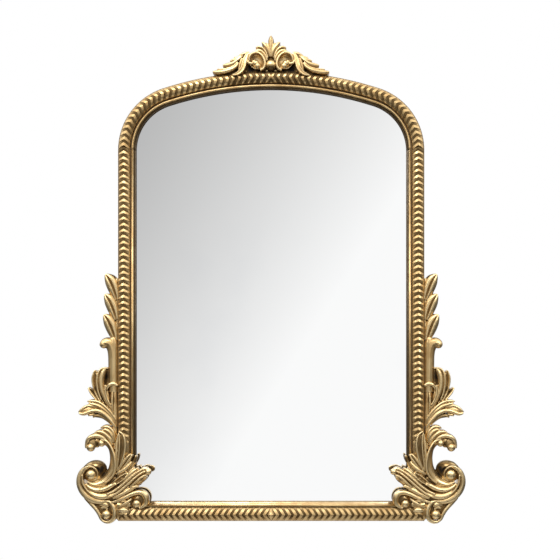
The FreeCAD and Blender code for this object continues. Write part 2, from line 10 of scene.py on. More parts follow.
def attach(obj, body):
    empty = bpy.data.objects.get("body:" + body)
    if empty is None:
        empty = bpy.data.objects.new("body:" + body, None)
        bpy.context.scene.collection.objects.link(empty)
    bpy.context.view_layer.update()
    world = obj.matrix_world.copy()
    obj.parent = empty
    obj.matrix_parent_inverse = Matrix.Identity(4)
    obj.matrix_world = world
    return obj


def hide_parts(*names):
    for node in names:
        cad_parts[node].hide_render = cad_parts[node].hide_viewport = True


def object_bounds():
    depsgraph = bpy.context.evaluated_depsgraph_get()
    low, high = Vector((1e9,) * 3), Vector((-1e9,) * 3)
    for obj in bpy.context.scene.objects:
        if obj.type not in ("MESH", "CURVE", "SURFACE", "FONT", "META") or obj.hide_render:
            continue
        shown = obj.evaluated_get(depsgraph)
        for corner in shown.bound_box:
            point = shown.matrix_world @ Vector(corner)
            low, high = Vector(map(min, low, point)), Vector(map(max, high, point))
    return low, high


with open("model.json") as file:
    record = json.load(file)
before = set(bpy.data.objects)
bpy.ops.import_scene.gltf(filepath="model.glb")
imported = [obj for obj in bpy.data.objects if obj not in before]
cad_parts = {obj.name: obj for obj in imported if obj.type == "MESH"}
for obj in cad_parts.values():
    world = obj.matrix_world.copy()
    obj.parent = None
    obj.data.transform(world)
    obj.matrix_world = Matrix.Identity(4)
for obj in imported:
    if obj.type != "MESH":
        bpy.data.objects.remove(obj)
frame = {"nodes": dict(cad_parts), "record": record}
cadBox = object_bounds()
print("frame loaded:", len(frame["nodes"]), "nodes")

# The carver's squared drawing: columns from the left, rows from the top, forward in millimetres from the core's back
drawing = dict(square=0.001873, middle=271.1, foot=521.0, hang=0.603, wallGap=0.008)


def spot(column, row, forward):
    x = (column - drawing["middle"]) * drawing["square"]
    z = (drawing["foot"] - row) * drawing["square"] - drawing["hang"]
    return Vector((x, -drawing["wallGap"] - forward / 1000, z))


# Shader work: Wire is a value with sums written in Python, Finish is one material and its nodes

class Wire:
    def __init__(self, finish, socket):
        self.finish = finish
        self.socket = socket

    def maths(self, operation, first, second):
        return self.finish.node("Math", {"operation": operation}, {0: first, 1: second})

    def __add__(self, other):
        return self.maths("ADD", self, other)

    def __sub__(self, other):
        return self.maths("SUBTRACT", self, other)

    def __rsub__(self, other):
        return self.maths("SUBTRACT", other, self)

    def __mul__(self, other):
        return self.maths("MULTIPLY", self, other)

    __radd__ = __add__
    __rmul__ = __mul__


class Finish:
    labels = dict(colour="Base Color", roughness="Roughness", metallic="Metallic", normal="Normal",
                  coat="Coat Weight", coatRoughness="Coat Roughness", specular="Specular IOR Level")

    def __init__(self, name):
        self.material = bpy.data.materials.new(name)
        self.material.use_nodes = True
        self.tree = self.material.node_tree
        self.shader = self.tree.nodes["Principled BSDF"]

    def plug(self, socket, value):
        if isinstance(value, Wire):
            self.tree.links.new(value.socket, socket)
        else:
            socket.default_value = value

    def node(self, kind, settings, sockets, out=0):
        made = self.tree.nodes.new("ShaderNode" + kind)
        for name, value in settings.items():
            setattr(made, name, value)
        for name, value in sockets.items():
            self.plug(made.inputs[name], value)
        return Wire(self, made.outputs[out])

    def seat(self):
        return self.node("TexCoord", {}, {}, "Object")

    def axis(self, letter):
        return self.node("SeparateXYZ", {}, {0: self.seat()}, letter)

    def place(self, scale=(1, 1, 1)):
        return self.node("Mapping", {}, {"Vector": self.seat(), "Scale": scale})

    def noise(self, scale, detail=2.0, stretch=(1, 1, 1)):
        return self.node("TexNoise", {}, {"Vector": self.place(stretch), "Scale": scale, "Detail": detail})

    def between(self, value, low, high):
        return self.node("MapRange", {"interpolation_type": "SMOOTHSTEP"},
                         {"Value": value, "From Min": low, "From Max": high})

    def mix(self, factor, first, second):
        return self.node("Mix", {"data_type": "RGBA"}, {0: factor, 6: first, 7: second}, 2)

    def bump(self, height, strength, distance):
        return self.node("Bump", {}, {"Height": height, "Strength": strength, "Distance": distance})

    def surface(self, **sockets):
        for name, value in sockets.items():
            self.plug(self.shader.inputs[self.labels[name]], value)
        return self.material


# glazeAndShade darkens the hollows as dark wash and as painted shade; rubbedAndHighlight lightens raised parts as worn
# gilt and as painted highlight; pitch is painted black shade where the painted shade runs deepest
gilding = dict(
    pale=(0.55, 0.382, 0.168, 1), deep=(0.44, 0.275, 0.10, 1), rubbedAndHighlight=(0.74, 0.575, 0.305, 1),
    glazeAndShade=(0.08, 0.045, 0.013, 1), pitch=(0.012, 0.008, 0.005, 1), back=(0.065, 0.044, 0.027, 1),
    mottle=55, mottleSpan=(0.35, 0.68), grain=900, glazeAndShadeSpan=(0.08, 0.6), glazeAndShadeShare=0.9, paintedBlackShadeSpan=(0.9, 1.7),
    rubbedAndHighlightSpan=(0.05, 0.45), rubbedAndHighlightShare=0.7, backSpan=(-0.0098, -0.0088), backRough=0.4,
    metal=0.95, rough=0.30, roughSpread=0.10, glazeAndShadeRough=0.18, lacquer=0.6, lacquerRough=0.3,
)


def makeGilding():
    gilt = Finish("giltPaint")
    mottle = gilt.between(gilt.noise(gilding["mottle"], 4), *gilding["mottleSpan"])
    grain = gilt.noise(gilding["grain"], 3)
    hollowAndShade = gilt.node("Attribute", {"attribute_name": "hollowAndShade"}, {}, "Fac")
    # deep: dark wash in the hollows together with painted shade
    deep = gilt.between(hollowAndShade + 0.1 * (grain - 0.5), *gilding["glazeAndShadeSpan"])
    # proudAndLit: worn gilt on raised parts together with painted highlight and spots of painted light
    proudAndLit = gilt.between(0 - hollowAndShade, *gilding["rubbedAndHighlightSpan"])
    back = gilt.between(gilt.axis("Y"), *gilding["backSpan"])
    colour = gilt.mix(mottle, gilding["pale"], gilding["deep"])
    colour = gilt.mix(proudAndLit * gilding["rubbedAndHighlightShare"], colour, gilding["rubbedAndHighlight"])
    colour = gilt.mix(deep * gilding["glazeAndShadeShare"], colour, gilding["glazeAndShade"])
    # near-black painted shade where the painted shade runs deepest
    colour = gilt.mix(gilt.between(hollowAndShade, *gilding["paintedBlackShadeSpan"]), colour, gilding["pitch"])
    colour = gilt.mix(back, colour, gilding["back"])
    rough = gilding["rough"] + gilding["roughSpread"] * (mottle + grain - 0.5)
    return gilt.surface(
        colour=colour,
        metallic=(gilding["metal"] - 0.1 * deep) * (1 - back),
        roughness=rough + gilding["glazeAndShadeRough"] * deep + gilding["backRough"] * back,
        coat=gilding["lacquer"] - gilding["glazeAndShadeShare"] * gilding["lacquer"] * deep,
        coatRoughness=gilding["lacquerRough"],
        normal=gilt.bump(grain + 0.6 * mottle, 0.12, 0.0004),
    )


# darker behind the face plane: dark paint on the sides and back, and painted shade on the inner walls by the glass
tonedShadedGround = dict(pale=(0.30, 0.195, 0.098, 1), deep=(0.20, 0.128, 0.062, 1), wall=(0.065, 0.044, 0.027, 1),
                   streak=40, streakSpan=(0.3, 0.7), grain=700, wallSpan=(-0.0226, -0.0214), rough=0.8)


def makeTonedShadedGround():
    ground = Finish("tonedShadedGround")
    streak = ground.between(ground.noise(tonedShadedGround["streak"], 5, (1, 1, 0.25)), *tonedShadedGround["streakSpan"])
    grain = ground.noise(tonedShadedGround["grain"], 3)
    wall = ground.between(ground.axis("Y"), *tonedShadedGround["wallSpan"])
    return ground.surface(
        colour=ground.mix(wall, ground.mix(streak, tonedShadedGround["pale"], tonedShadedGround["deep"]), tonedShadedGround["wall"]),
        specular=0.15,
        roughness=tonedShadedGround["rough"] + 0.15 * streak + 0.1 * (grain - 0.5),
        normal=ground.bump(grain + streak, 0.15, 0.0004),
    )


silvering = dict(tint=(0.95, 0.955, 0.955, 1), haze=(0.90, 0.91, 0.92, 1), cloud=3, hazeSpan=(0.55, 0.8), rough=0.012)


def makeSilvering():
    glass = Finish("silveredGlass")
    haze = glass.between(glass.noise(silvering["cloud"], 4), *silvering["hazeSpan"])
    return glass.surface(
        colour=glass.mix(haze, silvering["tint"], silvering["haze"]),
        metallic=1.0,
        roughness=silvering["rough"] + 0.01 * haze,
    )


hardboard = dict(pale=(0.33, 0.20, 0.105, 1), deep=(0.20, 0.115, 0.055, 1), fleck=(0.46, 0.32, 0.19, 1),
                 cloud=9, cloudSpan=(0.3, 0.7), fibre=420, speck=1300, speckSpan=(0.62, 0.75), rough=0.72)


def makeHardboard():
    board = Finish("hardboard")
    fibre = board.noise(hardboard["fibre"], 4, (1, 1, 0.35))
    cloud = board.between(board.noise(hardboard["cloud"], 5) + 0.5 * (fibre - 0.5), *hardboard["cloudSpan"])
    fleck = board.between(board.noise(hardboard["speck"], 2, (0.4, 1, 1)), *hardboard["speckSpan"])
    colour = board.mix(cloud, hardboard["pale"], hardboard["deep"])
    return board.surface(
        colour=board.mix(fleck * 0.6, colour, hardboard["fleck"]),
        roughness=hardboard["rough"] + 0.2 * (fibre - 0.5),
        normal=board.bump(fibre, 0.35, 0.0005),
    )


zincPlate = dict(pale=(0.66, 0.67, 0.68, 1), dull=(0.44, 0.45, 0.47, 1), spangle=420, patchSpan=(0.1, 0.9), scuff=1500,
                 metal=0.95, rough=0.3)


def makeZinc():
    zinc = Finish("zincPlate")
    spangle = zinc.node("TexVoronoi", {}, {"Vector": zinc.place(), "Scale": zincPlate["spangle"]}, "Color")
    patch = zinc.between(zinc.node("SeparateColor", {}, {0: spangle}), *zincPlate["patchSpan"])
    scuff = zinc.noise(zincPlate["scuff"], 2, (0.2, 1, 1))
    return zinc.surface(
        colour=zinc.mix(patch, zincPlate["pale"], zincPlate["dull"]),
        metallic=zincPlate["metal"],
        roughness=zincPlate["rough"] + 0.18 * patch + 0.1 * (scuff - 0.5),
        normal=zinc.bump(scuff, 0.08, 0.0002),
    )


softRubber = dict(padRubber=((0.045, 0.043, 0.041, 1), (0.028, 0.027, 0.026, 1)),
                  sealRubber=((0.10, 0.095, 0.085, 1), (0.06, 0.057, 0.05, 1)),
                  dust=160, dustSpan=(0.35, 0.7), pores=2200, rough=0.7)


def makeRubber(name):
    rubber = Finish(name)
    dust = rubber.between(rubber.noise(softRubber["dust"], 4), *softRubber["dustSpan"])
    pores = rubber.noise(softRubber["pores"], 2)
    return rubber.surface(
        colour=rubber.mix(dust, *softRubber[name]),
        roughness=softRubber["rough"] + 0.2 * (pores - 0.5),
        normal=rubber.bump(pores, 0.25, 0.0002),
    )


gilt = makeGilding()
slotFinish = dict(
    gilt_wood=makeTonedShadedGround(), gilt_resin=gilt, mirror=makeSilvering(), backing_board=makeHardboard(),
    zinc_steel=makeZinc(), pad_rubber=makeRubber("padRubber"), seal=makeRubber("sealRubber"),
)
# the frame core is one paint laid as two copies: the darker toned ground with painted shade on the stiles and the
# head, and the lit gilt on the bottom rail, which faces up into the light
for subpart in frame["record"]["subparts"]:
    node = frame["nodes"][subpart["node"]]
    node.data.materials.clear()
    node.data.materials.append(gilt if subpart["node"] == "bottom_rail" else slotFinish[subpart["material_slot"]])
print("finishes made and laid on the CAD nodes")


# Mesh work: rings of points are joined by extruding one ring's edges to the next

def everything(bm):
    return bm.verts[:] + bm.edges[:] + bm.faces[:]


def newSolid():
    bm = bmesh.new()
    bm.verts.layers.int.new("seat")
    return bm


def sweep(bm, rings, tones=None):
    seat = bm.verts.layers.int["seat"]
    hollowAndShade = bm.verts.layers.float.new("hollowAndShade") if tones else None
    first = [bm.verts.new(point) for point in rings[0]]
    for number, vert in enumerate(first):
        vert[seat] = number
        if tones:
            vert[hollowAndShade] = tones[0][number]
    edges = [bm.edges.new(pair) for pair in zip(first, first[1:] + first[:1])]
    bmesh.ops.edgeloop_fill(bm, edges=edges)
    for step in range(1, len(rings)):
        grown = bmesh.ops.extrude_edge_only(bm, edges=edges)["geom"]
        edges = [item for item in grown if isinstance(item, bmesh.types.BMEdge)]
        for item in grown:
            if isinstance(item, bmesh.types.BMVert):
                item.co = rings[step][item[seat]]
                if tones:
                    item[hollowAndShade] = tones[step][item[seat]]
    bmesh.ops.edgeloop_fill(bm, edges=edges)


def evened(values, one, other, shares):
    # half way to the mean of each point's neighbours
    sums = np.bincount(one, values[other], len(values)) + np.bincount(other, values[one], len(values))
    return 0.5 * values + 0.5 * sums / shares


def layHollowAndShade(mesh, shades):
    # how far each point lies under (+) or over (-) its smoothed surroundings, in millimetres, which darkens the
    # hollows as dark wash and as painted shade,
    # and painted shade laid on in spots (painted light where the amount is negative): column, row, radius, only behind
    # this front, amount
    count = len(mesh.vertices)
    points, normals = np.empty(count * 3), np.empty(count * 3)
    mesh.vertices.foreach_get("co", points)
    mesh.vertices.foreach_get("normal", normals)
    points, normals = points.reshape(-1, 3), normals.reshape(-1, 3)
    pairs = np.empty(len(mesh.edges) * 2, dtype=np.int64)
    mesh.edges.foreach_get("vertices", pairs)
    one, other = pairs[0::2], pairs[1::2]
    shares = np.bincount(pairs, minlength=count).clip(1)
    eased = points.copy()
    for step in range(carving["hollowRounds"]):
        for axis in range(3):
            eased[:, axis] = evened(eased[:, axis], one, other, shares)
    depth = ((eased - points) * normals).sum(axis=1) * 1000
    for step in range(carving["glazeAndShadeRounds"]):
        depth = evened(depth, one, other, shares)
    for column, row, radius, front, amount in shades:
        middle = spot(column, row, front)
        away = np.hypot(points[:, 0] - middle.x, points[:, 2] - middle.z) / (radius * drawing["square"])
        behind = ((points[:, 1] - middle.y) / carving["shadeFade"]).clip(0, 1)
        depth += amount * behind * (1 - away.clip(0, 1) ** 2) ** 2
    depth[normals[:, 1] > carving["backFacing"]] = carving["backTone"]
    layer = mesh.attributes.new("hollowAndShade", "FLOAT", "POINT")
    layer.data.foreach_set("value", depth.astype(np.float32))


def placed(name, data):
    made = bpy.data.objects.new(name, data)
    bpy.context.scene.collection.objects.link(made)
    return made


def settle(name, mesh, nodes):
    piece = placed(name, mesh)
    mesh.materials.clear()
    mesh.materials.append(gilt)
    mesh.polygons.foreach_set("use_smooth", [True] * len(mesh.polygons))
    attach(piece, "frame")
    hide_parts(*nodes)


# Runs of the frame members, as a place on the moulding's middle line and the way inwards, from a length along it

members = dict(half=0.287, spring=0.695, shoulder=0.122, crownRadius=0.658558, crownCentre=0.184442,
               faceBack=15.0, middle=0.0122, railMiddle=0.0136)
crownTurn = math.atan2(members["half"] - members["shoulder"], members["spring"] - members["crownCentre"])
shoulderLength = (members["shoulder"] - members["middle"]) * (math.pi / 2 - crownTurn)
crownLength = (members["crownRadius"] - members["middle"]) * crownTurn


def stileRun(length):
    return Vector((members["middle"] - members["half"], length)), Vector((1, 0))


def railRun(length):
    return Vector((-length, members["railMiddle"])), Vector((0, 1))


def archRun(length):
    if length < shoulderLength:
        radius = members["shoulder"] - members["middle"]
        centre = Vector((members["shoulder"] - members["half"], members["spring"]))
        turn = math.pi - length / radius
    else:
        radius = members["crownRadius"] - members["middle"]
        centre = Vector((0, members["crownCentre"]))
        turn = math.pi / 2 + crownTurn - (length - shoulderLength) / radius
    outward = Vector((math.cos(turn), math.sin(turn)))
    return centre + outward * radius, -outward


def onMember(run, length, inward, forward):
    place, way = run(length)
    place = place + way * inward
    return Vector((place.x, -drawing["wallGap"] - forward / 1000, place.y - drawing["hang"]))


# a line gives its start and its reach ahead at the crown, its depth at the edges and at the crown, and its tone:
# painted shade where positive, worn gilt and painted highlight where negative
leafCourse = dict(
    edge=1.5, rise=9.0, edgeShade=0.3, edgeFrom=0.9, point=1.15, spare=0.6, railStart=-0.002, archEnd=0.009, crease=24,
    across=(-1, -0.96, -0.87, -0.72, -0.5, -0.25, 0, 0.25, 0.5, 0.72, 0.87, 0.96, 1),
    stile=dict(tips=62, half=11.4, crown=(2.6, 0.5), inner=0.0, fade=2.6, crestShadow=(0, 0.0), lines=dict(
        under=(-0.5, 4.2, 0.5, 2.6, 0.4), ridge=(0.0, 4.2, 0.0, 0.0, -0.15), tip=(2.2, 6.6, 0.6, 0.9, -0.15),
        foot=(3.0, 7.0, 1.1, 3.0, 0.85))),
    arch=dict(tips=30, crestShadow=(8, 0.5), half=11.4, crown=(2.0, 0.6), inner=0.25, fade=2.2, lines=dict(
        under=(-0.6, 7.6, 0.3, 2.4, 0.5), ridge=(0.0, 7.6, 0.0, 0.0, -0.1), tip=(5.0, 7.8, 0.1, 0.3, 0.0),
        foot=(6.2, 8.0, 0.6, 2.8, 0.65))),
    rail=dict(tips=26, crestShadow=(0, 0.0), half=13.2, crown=(1.5, 0.75), inner=0.3, fade=1.3, lines=dict(
        under=(-0.6, 9.6, 0.1, 2.4, 0.7), ridge=(0.0, 9.6, 0.0, 0.0, 0.25), tip=(5.8, 9.6, 0.0, 0.2, 0.25),
        foot=(6.8, 9.6, 0.2, 2.8, 0.8))),
)
flatLine = (0.0, 0.0, 0.0, 0.0, 0.0)


def courseRing(run, kind, length, line):
    course = leafCourse[kind]
    start, reach, edgeDepth, crownDepth, tone = line
    half = course["half"] / 1000
    power, root = course["crown"]
    ring = []
    for across in leafCourse["across"]:
        along = length + (start + reach * (1 - abs(across) ** leafCourse["point"])) / 1000
        swell = leafCourse["rise"] * (1 - abs(across) ** power) ** root
        depth = edgeDepth + (crownDepth - edgeDepth) * (1 - across * across)
        forward = members["faceBack"] + leafCourse["edge"] + swell - min(depth, swell)
        ring.append(onMember(run, along, across * half, forward))
    for side in (half, -half):
        ring.append(onMember(run, length + start / 1000, side, members["faceBack"]))
    return ring


def courseTones(kind, line, added=0.0):
    # the tone (dark wash and painted shade, or worn gilt and painted highlight) lies near the crown and fades out
    # towards the edges, which get painted shade; more painted shade lies on one half, and a painted shadow under the
    # crest
    course = leafCourse[kind]
    tone = line[4]
    inner = course["inner"] if tone >= 0 else 0.0
    tones = []
    for across in leafCourse["across"]:
        edge = leafCourse["edgeShade"] if abs(across) > leafCourse["edgeFrom"] else 0.0
        tones.append(tone * (1 - abs(across) ** course["fade"]) + max(inner * across, 0) + edge + added)
    return tones + [leafCourse["edgeShade"]] * 2


def courseRings(run, kind, pitch, first=0):
    # each tip: the wall under it, the ridge at its foot, its pointed upper edge, and the drop beyond that
    course = leafCourse[kind]
    last, added = course["crestShadow"]
    lines = [(tip, line) for tip in range(first, course["tips"]) for line in course["lines"].values()]
    lines.append((course["tips"], course["lines"]["ridge"]))
    rings = [courseRing(run, kind, tip * pitch, line) for tip, line in lines]
    tones = []
    for tip, line in lines:
        shaded = tip > course["tips"] - last and line != course["lines"]["ridge"]
        tones.append(courseTones(kind, line, added if shaded else 0.0))
    return rings, tones


# the bead and the cove that falls from it to the glass; the bead takes a little painted shade, and the cove a deep
# painted shade on the stiles and the head but none on the rail
beadCourse = dict(half=1.8, offset=15.2, railOffset=16.5, wall=2.2, rise=2.4, turns=10, tone=0.1,
                  cove=[(0.4, 1.8), (2.6, -2.0), (3.9, -5.6)], coveShade=1.15, lip=31.05,
                  shoulderSteps=24, crownSteps=30, overrun=0.002, shortOverrun=0.001)


def beadRing(run, length):
    bead = beadCourse
    face = members["faceBack"]
    radius = (bead["half"] ** 2 + bead["rise"] ** 2) / (2 * bead["rise"])
    centre = face + bead["wall"] + bead["rise"] - radius
    reach = math.acos((radius - bead["rise"]) / radius)
    offset = bead["railOffset"] if run is railRun else bead["offset"]
    lip = bead["lip"] - 1000 * (members["railMiddle"] if run is railRun else members["middle"])
    points = []
    for step in range(bead["turns"] + 1):
        turn = reach * (2 * step / bead["turns"] - 1)
        points.append((offset + radius * math.sin(turn), centre + radius * math.cos(turn)))
    points += [(offset + bead["half"] + inward, face + forward) for inward, forward in bead["cove"]]
    points += [(lip, points[-1][1]), (lip, face), (offset - bead["half"], face)]
    return [onMember(run, length, inward / 1000, forward) for inward, forward in points]


def beadTones(run):
    bead = beadCourse
    # painted shade in the cove, except on the rail, which faces the light
    cove = 0.0 if run is railRun else bead["coveShade"]
    return [bead["tone"]] * (bead["turns"] + 1) + [cove] * (len(bead["cove"]) + 3)


def mitred(bm, rising):
    # cut at the corner's mitre, keeping the stile's side or the rail's side
    corner = Vector((-members["half"], 0, -drawing["hang"]))
    way = Vector((-1, 0, 1)) if rising else Vector((1, 0, -1))
    bmesh.ops.bisect_plane(bm, geom=everything(bm), plane_co=corner, plane_no=way, clear_inner=True)
    bmesh.ops.holes_fill(bm, edges=[edge for edge in bm.edges if edge.is_boundary])


def bothHalves(bm):
    bmesh.ops.bisect_plane(bm, geom=everything(bm), plane_co=(0, 0, 0), plane_no=(1, 0, 0), clear_outer=True)
    bmesh.ops.mirror(bm, geom=everything(bm), axis="X", merge_dist=0.00001)


def meshFrom(bm, name):
    bmesh.ops.recalc_face_normals(bm, faces=bm.faces[:])
    mesh = bpy.data.meshes.new(name)
    bm.to_mesh(mesh)
    bm.free()
    return mesh


def otherHand(mesh, name):
    bm = bmesh.new()
    bm.from_mesh(mesh)
    bmesh.ops.scale(bm, vec=(-1, 1, 1), verts=bm.verts[:])
    bmesh.ops.reverse_faces(bm, faces=bm.faces[:])
    twin = bpy.data.meshes.new(name)
    bm.to_mesh(twin)
    bm.free()
    return twin


def makeCourses():
    bm = newSolid()
    rings, tones = courseRings(stileRun, "stile", members["spring"] / leafCourse["stile"]["tips"], -1)
    sweep(bm, rings, tones)
    mitred(bm, True)
    left = meshFrom(bm, "leafCourseLeft")

    bm = newSolid()
    rings, tones = courseRings(railRun, "rail", members["half"] / (leafCourse["rail"]["tips"] - leafCourse["spare"]))
    start = courseRing(railRun, "rail", leafCourse["railStart"], flatLine)
    sweep(bm, [start] + rings, [courseTones("rail", flatLine)] + tones)
    mitred(bm, False)
    bothHalves(bm)
    bottom = meshFrom(bm, "leafCourseBottom")

    bm = newSolid()
    top = shoulderLength + crownLength
    rings, tones = courseRings(archRun, "arch", top / leafCourse["arch"]["tips"])
    end = courseRing(archRun, "arch", top + leafCourse["archEnd"], flatLine)
    sweep(bm, rings + [end], tones + [courseTones("arch", flatLine)])
    bothHalves(bm)
    arch = meshFrom(bm, "leafCourseArch")

    courses = [(left, "left"), (otherHand(left, "leafCourseRight"), "right"), (bottom, "bottom"), (arch, "arch")]
    for mesh, place in courses:
        settle(mesh.name, mesh, ["leaf_moulding_" + place])
        mesh.set_sharp_from_angle(angle=math.radians(leafCourse["crease"]))


def makeBeads():
    bead = beadCourse
    curve = [shoulderLength * step / bead["shoulderSteps"] for step in range(bead["shoulderSteps"])]
    curve += [shoulderLength + crownLength * step / bead["crownSteps"] for step in range(bead["crownSteps"] + 1)]
    spans = dict(left=(stileRun, [-bead["overrun"], members["spring"]]),
                 bottom=(railRun, [-bead["shortOverrun"], members["half"] + bead["overrun"]]),
                 arch=(archRun, curve + [curve[-1] + bead["shortOverrun"]]))
    for place, (run, lengths) in spans.items():
        bm = newSolid()
        rings = [beadRing(run, length) for length in lengths]
        sweep(bm, rings, [beadTones(run)] * len(rings))
        if place != "arch":
            mitred(bm, place == "left")
        if place != "left":
            bothHalves(bm)
        mesh = meshFrom(bm, "sightBead" + place.capitalize())
        settle(mesh.name, mesh, ["sight_bead_" + place])
        if place == "left":
            twin = otherHand(mesh, "sightBeadRight")
            settle(twin.name, twin, ["sight_bead_right"])


makeCourses()
makeBeads()
print("leaf courses and sight beads swept")


# Carving: a lobe follows given stations (column, row, half width, front) with one of these profiles across it,
# from its right edge (-1) to its left edge (1) and down from the front in half widths

profiles = dict(
    round=[(-1, 0.95), (-0.94, 0.58), (-0.78, 0.28), (-0.48, 0.09), (0, 0),
           (0.48, 0.09), (0.78, 0.28), (0.94, 0.58), (1, 0.95)],
    band=[(-1, 0.8), (-0.95, 0.36), (-0.82, 0.08), (-0.64, 0.03), (-0.35, 0.1), (0, 0.13),
          (0.35, 0.1), (0.64, 0.03), (0.82, 0.08), (0.95, 0.36), (1, 0.8)],
    flute=[(-1, 0.8), (-0.95, 0.36), (-0.83, 0.08), (-0.7, 0.04), (-0.5, 0.26), (-0.25, 0.5), (0, 0.58),
           (0.25, 0.5), (0.5, 0.26), (0.7, 0.04), (0.83, 0.08), (0.95, 0.36), (1, 0.8)],
    fold=[(-1, 0.85), (-0.94, 0.4), (-0.82, 0.12), (-0.7, 0.22), (-0.55, 0.62), (-0.4, 0.72), (-0.15, 0.5),
          (0.2, 0.24), (0.55, 0.06), (0.8, 0.03), (0.93, 0.25), (1, 0.7)],
    split=[(-1, 0.9), (-0.93, 0.5), (-0.75, 0.18), (-0.5, 0.04), (-0.25, 0.1), (-0.1, 0.3), (0, 0.42),
           (0.1, 0.3), (0.25, 0.1), (0.5, 0.04), (0.75, 0.18), (0.93, 0.5), (1, 0.9)],
    leaf=[(-1, 0.9), (-0.94, 0.52), (-0.78, 0.22), (-0.5, 0.07), (-0.22, 0.04), (-0.1, 0.17), (0, 0.26),
          (0.08, 0.15), (0.2, 0.0), (0.5, 0.03), (0.78, 0.2), (0.94, 0.5), (1, 0.9)],
)

# a lobe is its shape, back, lean and stations; stations alone are a round lobe from the common back, without a lean
carving = dict(voxel=0.0007, fineVoxel=0.00055, easing=0.5, easeRounds=3, keep=0.5, hollowRounds=30, glazeAndShadeRounds=4,
               relief=1.45, cuts=5, thinnest=0.25, leastRise=0.6, back=3, raisedBack=14, sides=40, discTaper=0.9,
               bowlCurve=2.2, bowlSteps=(0.94, 0.82, 0.66, 0.48, 0.3, 0.12),
               shadeFade=0.003, backFacing=0.5, backTone=0.7)
plainLobe = ("round", carving["back"], 0)


def raised(stations, shape="round", lean=0):
    # a lobe that lies over the moulding and the glass
    return shape, carving["raisedBack"], lean, stations


def smoothRun(stations):
    last = len(stations) - 1
    run = []
    for index in range(last):
        near = [stations[min(max(index + step, 0), last)] for step in (-1, 0, 1, 2)]
        halves = []
        for pick in (0, 2):
            a, b, c, d = (Vector((point[pick], point[pick + 1], 0)) for point in near)
            halves.append(interpolate_bezier(b, b + (c - a) / 6, c - (d - b) / 6, c, carving["cuts"] + 1))
        rows = [(p.x, p.y, q.x, q.y) for p, q in zip(*halves)]
        run += rows if index == last - 1 else rows[:-1]
    return run


def lobe(bm, shape, back, lean, stations):
    run = smoothRun(stations)
    rings = []
    for index, (column, row, half, front) in enumerate(run):
        before = run[max(index - 1, 0)]
        after = run[min(index + 1, len(run) - 1)]
        heading = Vector((after[0] - before[0], after[1] - before[1])).normalized()
        half = max(half, carving["thinnest"])
        reach = half * drawing["square"] * 1000
        ring = []
        for across, drop in profiles[shape]:
            fall = lean * (1 + across) if lean > 0 else -lean * (1 - across)
            forward = max(front - (drop + fall) * reach * carving["relief"], back + carving["leastRise"])
            ring.append(spot(column + heading.y * across * half, row - heading.x * across * half, forward))
        for across in (1, -1):
            ring.append(spot(column + heading.y * across * half, row - heading.x * across * half, back))
        rings.append(ring)
    sweep(bm, rings)


def ball(bm, column, row, radius, front, depth=1.0):
    made = bmesh.ops.create_uvsphere(bm, u_segments=28, v_segments=18, radius=radius * drawing["square"])["verts"]
    bmesh.ops.scale(bm, vec=(1, depth, 1), verts=made)
    middle = spot(column, row, front - radius * drawing["square"] * 1000 * depth)
    bmesh.ops.translate(bm, vec=middle, verts=made)


def disc(bm, column, row, radius, front):
    wide, back = radius * drawing["square"], carving["back"]
    made = bmesh.ops.create_cone(bm, cap_ends=True, segments=carving["sides"], radius1=wide,
                                 radius2=wide * carving["discTaper"], depth=(front - back) / 1000)["verts"]
    bmesh.ops.rotate(bm, verts=made, cent=(0, 0, 0), matrix=Matrix.Rotation(math.pi / 2, 3, "X"))
    bmesh.ops.translate(bm, vec=spot(column, row, (front + back) / 2), verts=made)


def bowl(bm, column, row, radius, front, floor):
    steps = [(1, carving["back"]), (1, front)]
    steps += [(share, floor + (front - floor) * share ** carving["bowlCurve"]) for share in carving["bowlSteps"]]
    turns = [2 * math.pi * side / carving["sides"] for side in range(carving["sides"])]
    rings = []
    for share, forward in steps:
        rings.append([spot(column + radius * share * math.cos(turn), row + radius * share * math.sin(turn), forward)
                      for turn in turns])
    sweep(bm, rings)


def carve(name, piece):
    bm = newSolid()
    for given in piece["lobes"].values():
        lobe(bm, *(given if isinstance(given, tuple) else plainLobe + (given,)))
    for kind, add in dict(balls=ball, discs=disc, bowls=bowl).items():
        for one in piece.get(kind, []):
            add(bm, *one)
    return fuse(bm, name, piece.get("shades", []), piece.get("voxel", carving["voxel"]))


def fuse(bm, name, shades, voxel):
    # melt the lobes into one carved skin, ease the tool marks and thin the mesh
    rough = placed(name, meshFrom(bm, name))
    melt = rough.modifiers.new("melt", "REMESH")
    melt.mode = "VOXEL"
    melt.voxel_size = voxel
    ease = rough.modifiers.new("ease", "SMOOTH")
    ease.factor = carving["easing"]
    ease.iterations = carving["easeRounds"]
    thin = rough.modifiers.new("thin", "DECIMATE")
    thin.ratio = carving["keep"]
    mesh = bpy.data.meshes.new_from_object(rough.evaluated_get(bpy.context.evaluated_depsgraph_get()))
    mesh.name = name
    bpy.data.objects.remove(rough)
    layHollowAndShade(mesh, shades)
    print("carved", name, len(mesh.polygons), "faces")
    return mesh


def carvePair(name, piece, nodes):
    left = carve(name + "Left", piece)
    settle(left.name, left, [node + "_left" for node in nodes])
    right = otherHand(left, name + "Right")
    settle(right.name, right, [node + "_right" for node in nodes])


